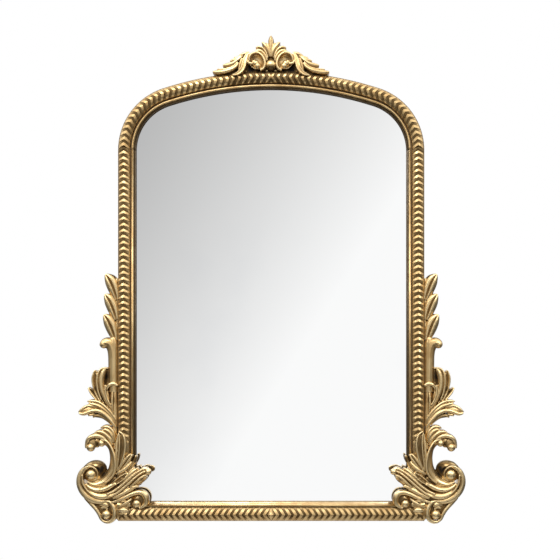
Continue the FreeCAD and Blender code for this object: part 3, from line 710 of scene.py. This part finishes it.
cornerScroll = dict(lobes=dict(
    stem=("round", 3, -0.42, [(102.4, 442.8, 2.6, 24), (107, 443.3, 3.1, 25.4), (111.2, 448.2, 3.5, 26.8),
        (113.2, 456, 4, 28), (113.1, 464, 4.3, 28.6), (111.2, 470.7, 4.4, 28.6), (107, 476.8, 4.4, 27.8),
        (100.4, 481.3, 3.9, 26.6), (93.8, 483, 2.5, 25.2), (88, 480.9, 0.6, 23.5)]),
    stemRim=[(99.6, 442.4, 0.9, 24.6), (101.6, 440, 1.1, 25.6), (105, 439.4, 1.2, 26.4), (109, 441.8, 1.2, 27.4),
        (113.2, 448.4, 1.2, 28.4), (116, 457.5, 1.2, 29.4), (116.6, 465.5, 1.2, 29.8), (115.4, 471.8, 1.1, 29.6),
        (112, 477.2, 1, 28.8), (106, 482.2, 0.8, 27.6)],
    volute=[(93.2, 465.6, 0.9, 26), (88.8, 466.3, 1.7, 28.4), (85, 468.7, 2.4, 29.2), (82, 472.9, 2.9, 29.4),
        (80.4, 478.4, 3.1, 29.4), (80.7, 484.6, 3.2, 28.8), (83.6, 491.2, 3.4, 27.8), (89, 496.6, 3.5, 26.8),
        (95.8, 500, 3.3, 25.8), (102.4, 501, 2.6, 25), (107.2, 500.2, 1, 23.6)],
    dome=("round", 3, 0.7, [(84.6, 467.6, 1.6, 25), (88.8, 465, 2.6, 25.6), (93.8, 463.8, 3, 25.4),
        (98.4, 464.4, 3.1, 24.6), (101.6, 466.8, 3.1, 23.6), (102.8, 470.2, 2.9, 22.6), (101.8, 474, 2.4, 21.6),
        (99.4, 477.4, 1.6, 21)]),
    voluteRim=[(84.4, 468.6, 0.7, 29.4), (87.8, 466, 1, 29.6), (91.4, 465.3, 1, 29.2), (94.8, 466.5, 0.9, 28.4),
        (97.6, 469.2, 0.8, 27.4), (98.8, 473, 0.6, 26.4), (98.2, 476.6, 0.4, 25.4)],
    voluteStep=[(83.8, 474, 0.7, 29.6), (84.2, 481.6, 1, 29.4), (87.2, 487.6, 0.9, 28.4), (92, 492.6, 0.8, 27.4),
        (97, 495.4, 0.5, 26)],
    upperBand=("round", 3, 0.22, [(86.9, 482.8, 0.6, 24.5), (90, 486, 1.6, 26.8), (95, 488.3, 2.5, 28.4),
        (101, 488.6, 2.9, 29.2), (107.5, 486.8, 3, 29.8), (113.5, 483.4, 2.6, 29.2), (117.5, 480.8, 1.2, 26)]),
    upperLeaf=raised([(101, 489.2, 2.2, 28), (107.5, 487.4, 2.6, 28.8), (112.5, 484.6, 2.4, 28.8),
        (117, 482.2, 1, 27.6)]),
    cupLeaf=raised([(112.6, 485, 1.4, 27.6), (116.6, 481.6, 2.5, 29.6), (120.8, 478.4, 3.1, 30.4),
        (125, 475.2, 2.6, 30.4), (128.2, 472.2, 0.8, 29.2)], "flute"),
    mainBand=("round", 3, 0.22, [(85.4, 483.8, 0.6, 24.5), (88.8, 489.2, 2, 27), (94.2, 493.2, 3.1, 28.8),
        (101, 495, 3.7, 30), (108.5, 494.2, 3.8, 30.4), (115, 491.6, 2.8, 29)]),
    mainLeaf=raised([(108.5, 494.6, 3.3, 29), (115.5, 491.4, 3.5, 30), (122.5, 486.4, 3.5, 30.8),
        (129.2, 480.6, 3.4, 31.4), (135.6, 475, 3.3, 31.8), (141.2, 470.9, 3.1, 31.6), (145.6, 469, 2.9, 31),
        (148.6, 469.4, 2.2, 30)], "split"),
    topLeaf=raised([(118.5, 473.6, 1.6, 26), (121.8, 468.2, 3, 28.4), (125.8, 462.4, 3.6, 29.8),
        (129.4, 457.6, 3.5, 30.2), (131.6, 454.6, 2.6, 29.8), (132.4, 453.2, 1.4, 29)], "split"),
    bladeLeaf=raised([(116.8, 473.2, 1, 26.5), (120.6, 471.4, 1.6, 28.4), (124.8, 468.8, 2, 29.6),
        (129, 465.4, 1.9, 29.6), (132.6, 460.8, 0.9, 28.4)]),
    topFlap=raised([(128.5, 470, 1.2, 26), (132.6, 464.6, 2, 26.6), (135.6, 459, 1.8, 26.6), (137, 454.6, 0.9, 26)]),
    secondLeaf=raised([(121, 483, 1, 27), (126.4, 478.2, 1.8, 29.2), (131.2, 473.4, 2.1, 30.2),
        (135.4, 469.6, 1.8, 30), (138.8, 467, 0.8, 29)]),
    slip=raised([(127, 474.6, 0.8, 27.4), (131, 470.6, 1.3, 29), (134.6, 466.6, 0.7, 28.4)]),
    lowerLeaf=raised([(122, 493.6, 1.3, 27), (127, 489.6, 2.2, 28.6), (132, 485.6, 2.9, 29),
        (137.6, 481.6, 3.5, 29.4), (142.4, 478.4, 3.5, 29), (145.4, 476.4, 2.4, 28),
        (147, 475.2, 1, 27)], lean=-0.25),
    lowerRim=raised([(131, 486, 0.7, 29.4), (135.6, 482, 1, 30.8), (141, 477.2, 1.1, 31.6), (145, 474.6, 1, 31.4),
        (147.6, 473.8, 0.5, 30.4)]),
    underLeaf=raised([(113.5, 497.4, 1, 26), (119, 495, 1.8, 27.8), (125, 491.8, 2.2, 28.8), (131, 488.4, 2.2, 28.8),
        (136, 485.6, 1.8, 28.4), (139.6, 485.4, 0.8, 27)]),
    innerCurl=raised([(112, 501.6, 0.9, 24.5), (118, 499.8, 1.7, 26), (125, 496.9, 2.2, 27.4),
        (131.5, 493.7, 2.4, 28.2), (138, 491.6, 2.7, 28.4), (143.6, 492.6, 3, 28.2), (146.6, 497, 3.1, 27.8),
        (146.4, 502.2, 2.7, 27), (143, 505.8, 1.8, 26.2), (139.5, 507.2, 0.9, 25)]),
    tipGround=raised([(130, 483, 3.4, 27), (137, 477.5, 3.8, 28), (142.5, 473.6, 3.6, 28), (146.4, 472, 2.2, 27.5)]),
    leafGround=raised([(119, 470, 4, 26), (123, 478, 5.5, 26.8), (126, 486, 6, 27), (122, 494, 5.5, 26.6),
        (118, 499, 4, 25.5)]),
    tongueGround=raised([(121.5, 474, 5, 26.5), (123.6, 462, 6, 27), (124.6, 450, 6, 27), (124.4, 441, 5, 26.8),
        (122.6, 434, 2.6, 26)]),
    tongue=raised([(118.2, 474, 2.6, 26), (120, 464, 4, 27.2), (121.8, 454, 4.9, 28.2), (122.2, 444.5, 4.9, 28.6),
        (121.4, 436.5, 3.5, 28), (120.2, 430.6, 0.9, 27)], "flute"),
    tongueRim=raised([(120, 430.8, 0.7, 27.6), (123.6, 433.2, 1, 29), (125.9, 438.6, 1.1, 29.8),
        (126.4, 446, 1.2, 30), (125.2, 454, 1.2, 29.8), (122.6, 462, 1.1, 29.2), (119.6, 469, 0.8, 28)]),
    tongueRib=raised([(120.2, 433, 0.5, 28), (120.8, 441, 0.9, 29.4), (120.4, 451, 0.9, 29.4),
        (119.2, 461, 0.8, 28.8), (118.2, 470, 0.5, 27.6)]),
    tongueEdge=raised([(118.8, 434, 0.6, 27), (117.6, 444, 1.1, 28), (117.4, 456, 1.2, 28.4),
        (117.8, 468, 0.9, 27.6)]),
    footGround=[(93, 497, 7, 17), (99, 504, 8, 17), (105.5, 512, 8.2, 17), (108.5, 516.5, 6, 16)],
    flank=[(85.5, 497, 2, 21), (91, 503, 2.2, 21.5), (95.8, 508.2, 2.2, 21.5), (99.2, 513.6, 2, 21),
        (101.4, 518.6, 1.6, 20.5), (104.5, 521.2, 1.4, 21)],
    footCup=[(105, 500.6, 1.4, 22.5), (110, 501.4, 2.2, 24.5), (113.8, 506.2, 2.6, 25.4), (115.2, 512.6, 2.6, 25.6),
        (113.6, 518.2, 2.4, 25), (109.4, 521.2, 2, 24), (104.6, 521.4, 1.4, 22)],
    footLeaf=[(100.2, 504.6, 0.9, 22), (103.2, 503.4, 1.8, 24.2), (106.6, 503.8, 2, 24.6), (109, 506.2, 1, 23)],
    footFold=[(101.4, 507.4, 1, 21.5), (105, 506.6, 1.6, 22.6), (108.4, 508.8, 0.8, 21.6)],
    bud=raised([(119.4, 510.4, 1.2, 25.6), (122.4, 509.2, 2.5, 28.6), (126.2, 509.2, 2.5, 28.6),
        (129.6, 510.6, 1, 26)]),
    budGround=raised([(117.6, 504, 3.4, 24.4), (122, 504.4, 3.6, 25.6), (127, 504, 3.6, 25.8), (131, 503, 3.2, 25)]),
    innerSlip=raised([(121, 504.8, 0.8, 26), (125.6, 502.6, 1.4, 27.6), (130, 499.8, 1.2, 27.8),
        (132.6, 497.6, 0.6, 26.6)]),
    footWeb=[(117.6, 503, 2, 22), (118.2, 510, 2.3, 22.6), (118.4, 516, 2.2, 21), (118.4, 520, 1.6, 18)],
), balls=[
    (92.2, 473.6, 8.6, 26, 0.6), (91.9, 473.8, 5.7, 31.6), (102.2, 442.8, 3.5, 27.4), (149.2, 470.6, 3.3, 32.6),
    (140, 500, 8, 21.5, 0.6), (137.3, 502.8, 4.3, 29), (106.9, 514, 4.9, 27.4),
], discs=[
    (106, 490, 10.5, 20.5), (112.5, 498, 6.5, 19.5), (113, 482, 6, 21), (110.5, 506, 8, 17.5), (114, 474, 5, 20),
], shades=[
    (100.6, 467.4, 7, 28.5, 1.6), (94, 461.5, 5, 26, 0.5), (102, 473.5, 5, 25.5, 1.4), (105, 480, 70, 60, -0.05),
    (140.5, 498, 6, 26, 0.7), (100, 482, 9, 40, -0.5), (119.8, 448, 12, 28, 0.35), (125, 505, 8, 26.4, 0.7),
    (118.4, 513, 5, 23, 0.5), (136.4, 458.6, 6.5, 29, 1.4), (144, 480.4, 5, 30.6, 0.6), (151, 497.5, 5.5, 40, 0.8),
    (104, 468.5, 5.5, 40, 0.9), (108, 447.5, 4.5, 26.6, 0.5),
])

curledLeaf = dict(lobes=dict(
    topFold=[(101, 428, 0.7, 21.5), (104.4, 426.3, 1.4, 23), (108.6, 426.7, 1.7, 23.6), (112.2, 429.6, 1.8, 23.6),
        (114.4, 434, 1.6, 23), (115.6, 440, 1.1, 21.5)],
    secondFold=[(103, 429.6, 0.8, 23), (106, 429.2, 1.5, 24.4), (109.8, 431.4, 1.8, 25), (112.6, 435.6, 1.8, 24.6),
        (114.4, 442, 1.3, 22.6)],
    thirdFold=[(94.6, 433.2, 0.6, 23.4), (98.2, 431.3, 1.4, 25.2), (102.6, 431.6, 1.8, 26.2), (106.8, 434.2, 2, 26.4),
        (110.6, 438.6, 2, 25.6), (113.2, 445, 1.4, 23.6)],
    hoodCrest=[(87, 443.4, 1.2, 26), (88.4, 439.4, 1.8, 27.6), (91.8, 436.4, 2.2, 28.6), (96.4, 435.2, 2.4, 28.8),
        (101, 435.8, 2.3, 28.2), (105.2, 438.4, 2, 26.6), (109, 443, 1.4, 24)],
    hoodEdge=[(89.4, 439.4, 1.6, 26.6), (87.2, 443.4, 1.5, 26), (87.6, 447.4, 1.6, 26)],
    stalk=[(114.5, 424, 2.6, 19), (114.8, 436, 3, 20.5), (115.2, 449, 2.6, 21)],
    ground=[(112, 430, 2.8, 17), (106, 434, 4.6, 18), (100, 438.5, 5, 18)],
), balls=[
    (92.2, 442.6, 6, 25.4, 0.6), (91.4, 446.8, 4.3, 28.6), (97.6, 440.4, 3.2, 23.4, 0.8), (97.2, 444.8, 2.7, 21),
], shades=[
    (93, 441.6, 5, 27.2, 0.7), (97.8, 443, 5, 25, 1.1),
])

acanthusSpray = dict(lobes=dict(
    innerFace=[(112, 409, 1.4, 21), (108, 402.6, 2, 22.2), (104, 394.6, 2.4, 23), (101.8, 386.6, 2.8, 23.4),
        (101.6, 378.6, 3.2, 23.4), (103.2, 372.4, 3, 23), (105.6, 368.8, 1.8, 22)],
    innerRim=[(101.8, 399.6, 0.7, 22.6), (98.9, 391.6, 0.9, 23.2), (97.7, 383.6, 1, 23.6), (97.9, 376, 1, 23.4),
        (99.6, 370.8, 0.9, 22.8), (102.2, 368.3, 0.8, 22.4), (105.4, 367.9, 0.8, 22), (108.6, 368, 0.6, 21.4)],
    innerEdge=[(111.2, 405, 0.8, 22), (107.8, 398.6, 0.9, 22.8), (106, 391.6, 1, 23), (105.7, 384.6, 0.8, 22.6)],
    outerLobe=("fold", 3, 0, [(104.5, 405, 1.2, 20), (100, 398.6, 1.7, 21), (96.6, 391.6, 2, 21.8),
        (94.6, 385, 2.2, 22), (94.1, 379, 2.5, 22), (94.8, 374.2, 2.3, 21.6), (95.5, 370.2, 1, 20.6)]),
    barb=("fold", 3, 0, [(104, 405.8, 1, 18.4), (98.6, 400.2, 1.6, 19.8), (94.8, 395.4, 2.5, 20.2),
        (91.4, 391.2, 2.4, 20), (88.3, 387.4, 0.7, 19)]),
    upperStrip=[(116, 419.8, 0.9, 20.4), (113.2, 415.2, 1.3, 21.8), (108.2, 408.9, 1.5, 22.6),
        (102.6, 404, 1.5, 22.8), (97, 401.2, 1.4, 22.6), (91.2, 400.6, 1.2, 21.8), (87.6, 401.4, 0.6, 20.8)],
    lowerStrip=[(115.2, 421.6, 1, 20.4), (110.4, 414.8, 1.6, 22.2), (104.8, 409.4, 1.8, 23), (99, 405.6, 1.8, 23),
        (93.2, 403.9, 1.7, 22.4), (89, 403, 0.7, 21)],
    tipRim=[(97.5, 407, 0.9, 21.6), (92.5, 406, 1.1, 22), (88.6, 405.4, 1.2, 22.2), (85, 406.8, 1.3, 22.2),
        (81.6, 409.4, 1.2, 22), (78.9, 411.8, 0.6, 21)],
    mainRidge=[(116.2, 427.6, 1.2, 21), (113.4, 423, 1.7, 22.8), (109, 417.6, 2.1, 24), (104, 413.2, 2.3, 24.4),
        (98.6, 410.6, 2.3, 24.4), (93.2, 410.4, 2.2, 24.2), (88.2, 412, 2.2, 23.8), (83.4, 413.6, 1.9, 23),
        (79.2, 412.8, 0.8, 21.4)],
    tipGround=[(110, 415, 2, 18), (100, 408.5, 2.6, 19.5), (92, 408.3, 2.8, 21), (85.5, 409.8, 2.8, 21.2),
        (81, 411.4, 1.6, 20.6)],
    flap=[(112, 424.6, 1.2, 20), (107.6, 419.8, 1.8, 20.6), (102.6, 416.4, 2.2, 20.6), (97.6, 415.4, 2.2, 20.4),
        (94.6, 416, 1.4, 20), (93.2, 417.4, 0.6, 19)],
    flapTip=[(95, 414, 1.4, 20.4), (90.5, 414.8, 1.2, 20.4), (88.4, 415.6, 0.6, 19.6)],
    ground=[(114.5, 421, 2, 15), (108, 411, 4.4, 15.5), (102.5, 400, 5.2, 15.5), (98, 388, 4.8, 15),
        (98, 378, 4, 14.5)],
    web=[(98.4, 388, 1.8, 17), (98, 378, 1.8, 17), (98.2, 372, 0.9, 16.6)],
    gap=[(110, 402, 3.4, 13), (108, 388, 4, 12), (107.4, 376, 3.8, 12), (107.6, 369.4, 2.4, 12)],
    sheath=[(115.6, 427, 2.4, 19.5), (115, 416, 3.2, 20), (113.8, 404, 4.2, 19.5), (113.4, 394, 4.4, 18),
        (113.4, 388, 4.4, 16.5)],
    sheathRim=[(106.9, 390.4, 0.8, 20.5), (107.6, 387.4, 1.3, 22.4), (109.8, 384.6, 1.8, 24), (112.9, 383.4, 2, 24.4),
        (116, 384, 1.9, 24), (118.2, 385.6, 1.2, 23)],
    sheathEdge=[(107.6, 390, 0.7, 20), (108.2, 396, 0.9, 20.6), (109.8, 404, 0.9, 21), (112, 411, 0.7, 21)],
    sheathRib=[(112.8, 391.5, 0.6, 21), (112.7, 397, 0.9, 22.4), (112.7, 403, 1, 22.8), (113, 409, 0.8, 22.2),
        (113.6, 414, 0.4, 21)],
), shades=[
    (108, 377, 7, 19, 1.5), (93.6, 389.4, 4.5, 40, 0.8), (98, 416.8, 9, 22.5, 0.9), (113.2, 400, 6, 21.6, 0.4),
])

stemPost = dict(lobes=dict(
    shaft=[(113.2, 392, 5.5, 19.5), (113.1, 370, 5.7, 20.4), (113, 352, 5.8, 20.8), (113, 343, 5.6, 20.8),
        (112.6, 337.4, 3, 19.4)],
    hook=[(112.9, 358, 5.5, 20.6), (112.2, 350, 5.8, 21), (110.2, 344.6, 6.1, 21.4), (106.8, 342.6, 5.5, 21.8),
        (103.8, 343.2, 4.5, 21.6), (101.6, 344.7, 2.9, 20.6), (100.4, 345.8, 1.2, 19.4)],
), balls=[
    (103.6, 344.2, 4.2, 21.6),
], shades=[
    (103.5, 348, 5, 22, 0.5),
])

laurelLeaf = dict(
    places=[(0, 0), (-0.6, 20), (-1.6, 40.4)],
    body=[(116.8, 299.5, 3.2, 17.5), (114.9, 292.6, 5.9, 19.4), (112.5, 285.6, 6.9, 20.8), (109.9, 280, 6.3, 21),
        (107.4, 276.4, 4.1, 20), (105.6, 274, 1, 18.8)],
    twig=[(117, 340, 1.2, 16), (117, 278, 1, 16)],
)


def laurelSprig():
    lobes = dict(twig=laurelLeaf["twig"])
    for number, (across, down) in enumerate(laurelLeaf["places"]):
        stations = [(column + across, row + down, half, front) for column, row, half, front in laurelLeaf["body"]]
        lobes["leaf" + str(number)] = ("leaf", carving["back"], 0, stations)
    return dict(lobes=lobes)


crestCurl = dict(lobes=dict(
    ring=[(249.6, 62.4, 1, 28.5), (249.8, 59, 1.2, 29.5), (251.8, 55.9, 1.3, 30.1), (255.2, 54.2, 1.3, 30.5),
        (259, 54.8, 1.3, 30.7), (262.4, 57.6, 1.3, 30.9), (264.6, 61.8, 1.3, 30.9), (265.2, 66, 1.3, 30.7),
        (263.8, 69.8, 1.3, 30.3), (260.4, 71.6, 1, 29.5)],
    shoulder=[(249.4, 54.6, 1.4, 27.5), (247, 58, 2, 28.5), (246.8, 61.4, 2, 28.9), (249, 64.2, 1.6, 29.1),
        (252.2, 64.9, 1.2, 28.9), (254.2, 64.2, 0.7, 28.1)],
    roll=[(255.4, 52.6, 1.2, 27.7), (260, 52, 1.7, 28.3), (263.6, 54.4, 1.7, 28.5), (266.2, 58.6, 1.4, 28.3),
        (267.2, 62, 0.9, 27.5)],
    base=[(245.5, 71, 3.6, 14), (254, 70, 4.2, 14.5), (262, 69.6, 4.2, 14.5), (268, 69.6, 3.6, 14.5)],
), voxel=carving["fineVoxel"], balls=[
    (254.4, 63.6, 3, 29), (256.4, 64.8, 3.6, 30.2), (258, 67.2, 3.4, 30.8),
], discs=[
    (258, 68, 5.5, 14.5), (248.5, 67, 5, 14),
], bowls=[
    (257.4, 62.4, 8, 27, 18.5),
], shades=[
    (257.4, 60.5, 7, 24, -0.5), (250.5, 69.5, 6.5, 24, 2), (260, 73.5, 6, 26, 2),
])

crestLeaf = dict(lobes=dict(
    first=[(249.4, 54, 1.2, 27), (245.6, 54.7, 1.7, 28.1), (242.2, 56, 1.6, 27.7), (240, 57, 1.1, 26.9),
        (239.2, 57.4, 0.6, 26.1)],
    second=[(243.6, 57.4, 1.3, 27), (239.8, 58.3, 1.3, 27.5), (236.8, 58.8, 1.2, 27.1), (234.9, 59.1, 0.9, 26.5),
        (234.2, 59.2, 0.5, 25.5)],
    third=[(241.5, 58.8, 1.3, 27.7), (238, 60.2, 1.5, 28.3), (234.4, 61.3, 1.5, 27.9), (231.6, 62, 1.2, 26.9),
        (230.3, 62.2, 0.6, 25.9)],
    fourth=[(240.2, 59.6, 1, 28.1), (237.4, 61.9, 1.5, 29.1), (233.6, 64.6, 1.9, 29.3), (228.6, 66.2, 2.1, 28.9),
        (225, 66.7, 1.6, 27.9), (223.2, 66.7, 0.8, 26.3)],
    slip=[(237.8, 63.6, 0.7, 28.5), (235.4, 66.6, 0.9, 29), (231, 69.1, 1, 28.9), (225.5, 70.3, 1, 28.3),
        (220, 70.7, 0.8, 27.7), (217.4, 70.6, 0.5, 26.5)],
    fifth=[(238.6, 64, 0.8, 28.3), (236.9, 67.4, 1.3, 29.1), (233.4, 70, 1.7, 29.7), (228.8, 71.8, 2, 29.9),
        (223.6, 73, 2, 29.5), (217.8, 73.4, 2, 28.7), (214.6, 73.2, 1.4, 27.5), (213.1, 73, 0.7, 26.1)],
    under=[(236.5, 72.5, 1.4, 19.5), (230.5, 74.4, 1.6, 19.5), (224.5, 75.2, 1.4, 19), (219, 75, 1, 18.5)],
    swagFace=("band", 3, 0, [(247.8, 55.2, 1.4, 27.9), (245.8, 59.6, 2.1, 29.3), (244.6, 64.4, 2.5, 30.3),
        (243.5, 69.2, 2.6, 30.9), (240.9, 73, 2.2, 30.7), (237.2, 75.4, 1.6, 29.9), (232.8, 76.5, 0.6, 28.1)]),
    swagSide=[(242.4, 59.4, 1.3, 27.2), (240.8, 64.5, 1.8, 27.6), (239.8, 69.5, 1.7, 27.4), (239.4, 73, 1, 27)],
    ground=[(248, 62, 4, 17.5), (240, 65.4, 6, 18), (230, 69.4, 4.6, 18), (221, 72.8, 2.4, 18)],
), voxel=carving["fineVoxel"], shades=[
    (228, 76.5, 9, 24, 1.2), (236, 75, 6, 26, 1.2), (240.4, 66.5, 4.5, 28.2, 0.6),
])

plume = dict(petals=dict(
    inner=[(270.6, 58, 1.2, 28.1), (268.9, 52.6, 2, 29.3), (266.4, 48.2, 2.2, 29.5), (264.2, 45.4, 1.7, 28.5),
        (262.2, 43.6, 0.7, 26.5)],
    slip=[(270.8, 57, 0.8, 28.5), (269.5, 51, 1.3, 29.1), (268.1, 46.8, 1.3, 28.7), (267, 44.4, 0.6, 27.1)],
    rim=[(268, 59.4, 0.8, 27.9), (266.2, 54, 1, 28.7), (263.2, 49.9, 1.1, 28.9), (259.6, 48.4, 1.1, 28.5),
        (256, 49.2, 0.6, 26.7)],
    face=[(266.8, 58.8, 1.2, 25.9), (264.4, 53.8, 1.9, 26.1), (261, 51, 1.8, 25.9), (256.8, 50.6, 0.8, 25.1)],
    spike=[(271.1, 58, 1.2, 27.5), (271.1, 52, 1.6, 28.5), (271.1, 46.5, 2.3, 28.9), (271.1, 42, 2.8, 28.5),
        (271.1, 39.2, 2, 27.1), (271.1, 37, 0.7, 25.5)],
    rib=[(271.1, 57, 0.5, 28.9), (271.1, 48, 0.8, 30.5), (271.1, 41, 0.8, 30.3), (271.1, 38, 0.4, 27.9)],
    ground=[(271.1, 74, 5, 14.5), (271.1, 62, 5.4, 16), (271.1, 52, 5.6, 17.5), (271.1, 46, 3, 17)],
), shades=[
    (271.1, 69, 8, 26, 2), (271.1, 40.5, 5, 40, 0.3), (261.4, 52, 5.5, 27.2, 0.9), (280.8, 52, 5.5, 27.2, 0.9),
])


def crestPlume():
    lobes = {}
    for name, stations in plume["petals"].items():
        lobes[name] = stations
        across = [(2 * drawing["middle"] - column, row, half, front) for column, row, half, front in stations]
        if across != stations:
            lobes[name + "Right"] = across
    return dict(lobes=lobes, voxel=carving["fineVoxel"], shades=plume["shades"])


crestPearl = dict(lobes={}, balls=[(271.1, 66.3, 5.3, 33)], discs=[(271.1, 66.5, 3.8, 23)],
                  shades=[(271.1, 72, 7.8, 40, 1.6)])

carvePair("cornerScroll", cornerScroll, ["corner_scroll", "corner_leaf"])
carvePair("curledLeaf", curledLeaf, ["curled_leaf"])
carvePair("acanthusSpray", acanthusSpray, ["acanthus_spray"])
carvePair("stemPost", stemPost, ["stem_post"])
carvePair("laurelSprig", laurelSprig(), ["laurel_sprig"])
carvePair("crestCurl", crestCurl, ["crest_curl"])
carvePair("crestLeaf", crestLeaf, ["crest_leaf"])
settle("crestPlume", carve("crestPlume", crestPlume()), ["crest_plume"])
settle("crestPearl", carve("crestPearl", crestPearl), ["crest_pearl"])
print("carvings done")

# Studio: pale floor, white surround, a soft top light, and a tent round the camera for glass and gold to show

studio = dict(
    floorDrop=1.2, floorSize=2.6, floorTone=(0.82, 0.82, 0.82, 1), ambient=0.35,
    keyPower=18.5, keySize=1.0, keyPlace=(-0.35, -1.35, 1.35), keyAim=(0, 0, -0.15),
    sidePower=0.7, sideSize=0.6, sidePlace=(0.95, -1.2, 0.25), sideAim=(0.3, 0, -0.5), sideSpread=55,
)


def makeFloor():
    bm = bmesh.new()
    bmesh.ops.create_grid(bm, x_segments=1, y_segments=1, size=studio["floorSize"] / 2)
    bmesh.ops.translate(bm, vec=(0, 0, cadBox[0][2] - studio["floorDrop"]), verts=bm.verts[:])
    floor = placed("studioFloor", meshFrom(bm, "studioFloor"))
    floor.data.materials.append(Finish("paperFloor").surface(colour=studio["floorTone"], roughness=0.8))


# grade: the screen's level at its middle and its change across and up; each span is where a part fades in
tent = dict(
    radius=3.0, centre=(0, 0, -0.15), back=2.9, grade=(0.972, 0.1767, -0.1124), power=2.2,
    screen=(0.9, 0.78), screenSpan=(0.85, 1.15), left=0.36, right=0.26, acrossSpan=(-1.2, 1.2),
    top=2.0, topSpan=(0.2, 1.6), behind=0.04, behindSpan=(0.6, 1.8), low=0.07, lowSpan=(0.3, 1.4),
)


def toward(first, second, share):
    return first + (second - first) * share


def makeTent():
    # a round tent in front, seen only in reflections: graded for the glass, bright above, dim at the sides and below
    bm = bmesh.new()
    bmesh.ops.create_icosphere(bm, subdivisions=5, radius=tent["radius"])
    bmesh.ops.bisect_plane(bm, geom=everything(bm), plane_co=(0, tent["back"], 0), plane_no=(0, 1, 0),
                           clear_outer=True)
    bmesh.ops.translate(bm, vec=tent["centre"], verts=bm.verts[:])
    shell = placed("studioTent", meshFrom(bm, "studioTent"))
    shell.visible_camera = False
    shell.visible_shadow = False
    cloth = Finish("tentCloth")
    x, y, z = cloth.axis("X"), cloth.axis("Y"), cloth.axis("Z") - tent["centre"][2]
    middle, across, up = tent["grade"]
    graded = cloth.node("Clamp", {}, {"Value": middle + across * x + up * z})
    graded = graded.maths("POWER", graded, tent["power"])
    wide, high = tent["screen"]
    off = x.maths("MAXIMUM", x.maths("ABSOLUTE", x * wide, 0), z.maths("ABSOLUTE", z * high, 0))
    around = toward(tent["left"], tent["right"], cloth.between(x, *tent["acrossSpan"]))
    around = toward(around, tent["top"], cloth.between(z, *tent["topSpan"]))
    around = toward(around, tent["behind"], cloth.between(y, *tent["behindSpan"]))
    around = toward(around, tent["low"], cloth.between(0 - z, *tent["lowSpan"]))
    level = toward(graded, around, cloth.between(off, *tent["screenSpan"]))
    glow = cloth.node("Emission", {}, {"Color": cloth.node("CombineColor", {}, {0: level, 1: level, 2: level})})
    cloth.plug(cloth.tree.nodes["Material Output"].inputs["Surface"], glow)
    shell.data.materials.append(cloth.material)


def makeLamp(name, place, aim, power, size, spread=180):
    lamp = bpy.data.lights.new(name, "AREA")
    lamp.shape = "DISK"
    lamp.size = size
    lamp.energy = power
    lamp.spread = math.radians(spread)
    lampObject = placed(name, lamp)
    lampObject.location = place
    lampObject.rotation_euler = (Vector(aim) - Vector(place)).to_track_quat("-Z", "Y").to_euler()


def makeSurround():
    world = bpy.data.worlds.new("studio")
    bpy.context.scene.world = world
    world.use_nodes = True
    nodes, links = world.node_tree.nodes, world.node_tree.links
    nodes.clear()
    path = nodes.new("ShaderNodeLightPath")
    seen = path.outputs["Is Camera Ray"]
    for ray in ("Is Glossy Ray", "Is Transmission Ray"):
        either = nodes.new("ShaderNodeMath")
        either.operation = "MAXIMUM"
        links.new(seen, either.inputs[0])
        links.new(path.outputs[ray], either.inputs[1])
        seen = either.outputs[0]
    dim, white = nodes.new("ShaderNodeBackground"), nodes.new("ShaderNodeBackground")
    dim.inputs["Strength"].default_value = studio["ambient"]
    for light in (dim, white):
        light.inputs["Color"].default_value = (1, 1, 1, 1)
    blend = nodes.new("ShaderNodeMixShader")
    links.new(seen, blend.inputs[0])
    links.new(dim.outputs[0], blend.inputs[1])
    links.new(white.outputs[0], blend.inputs[2])
    links.new(blend.outputs[0], nodes.new("ShaderNodeOutputWorld").inputs["Surface"])


view = dict(centre=(0.0167, -0.1516), distance=1.7, offset=(0.058, -0.085), width=1.0465, front=-0.028, sensor=36)


def makeCamera():
    camera = bpy.data.cameras.new("camera")
    camera.sensor_width = view["sensor"]
    camera.lens = view["sensor"] * view["distance"] / view["width"]
    camera.shift_x = -view["offset"][0] / view["width"]
    camera.shift_y = -view["offset"][1] / view["width"]
    cameraObject = placed("camera", camera)
    cameraObject.location = (view["centre"][0] + view["offset"][0], view["front"] - view["distance"],
                             view["centre"][1] + view["offset"][1])
    cameraObject.rotation_euler = (math.pi / 2, 0, 0)
    bpy.context.scene.camera = cameraObject


makeFloor()
makeTent()
makeLamp("topLight", studio["keyPlace"], studio["keyAim"], studio["keyPower"], studio["keySize"])
for name, side in (("lowLightLeft", -1), ("lowLightRight", 1)):
    place, aim = (Vector((side * x, y, z)) for x, y, z in (studio["sidePlace"], studio["sideAim"]))
    makeLamp(name, place, aim, studio["sidePower"], studio["sideSize"], studio["sideSpread"])
makeSurround()
makeCamera()
bpy.context.scene.view_settings.view_transform = "Standard"
print("studio set")
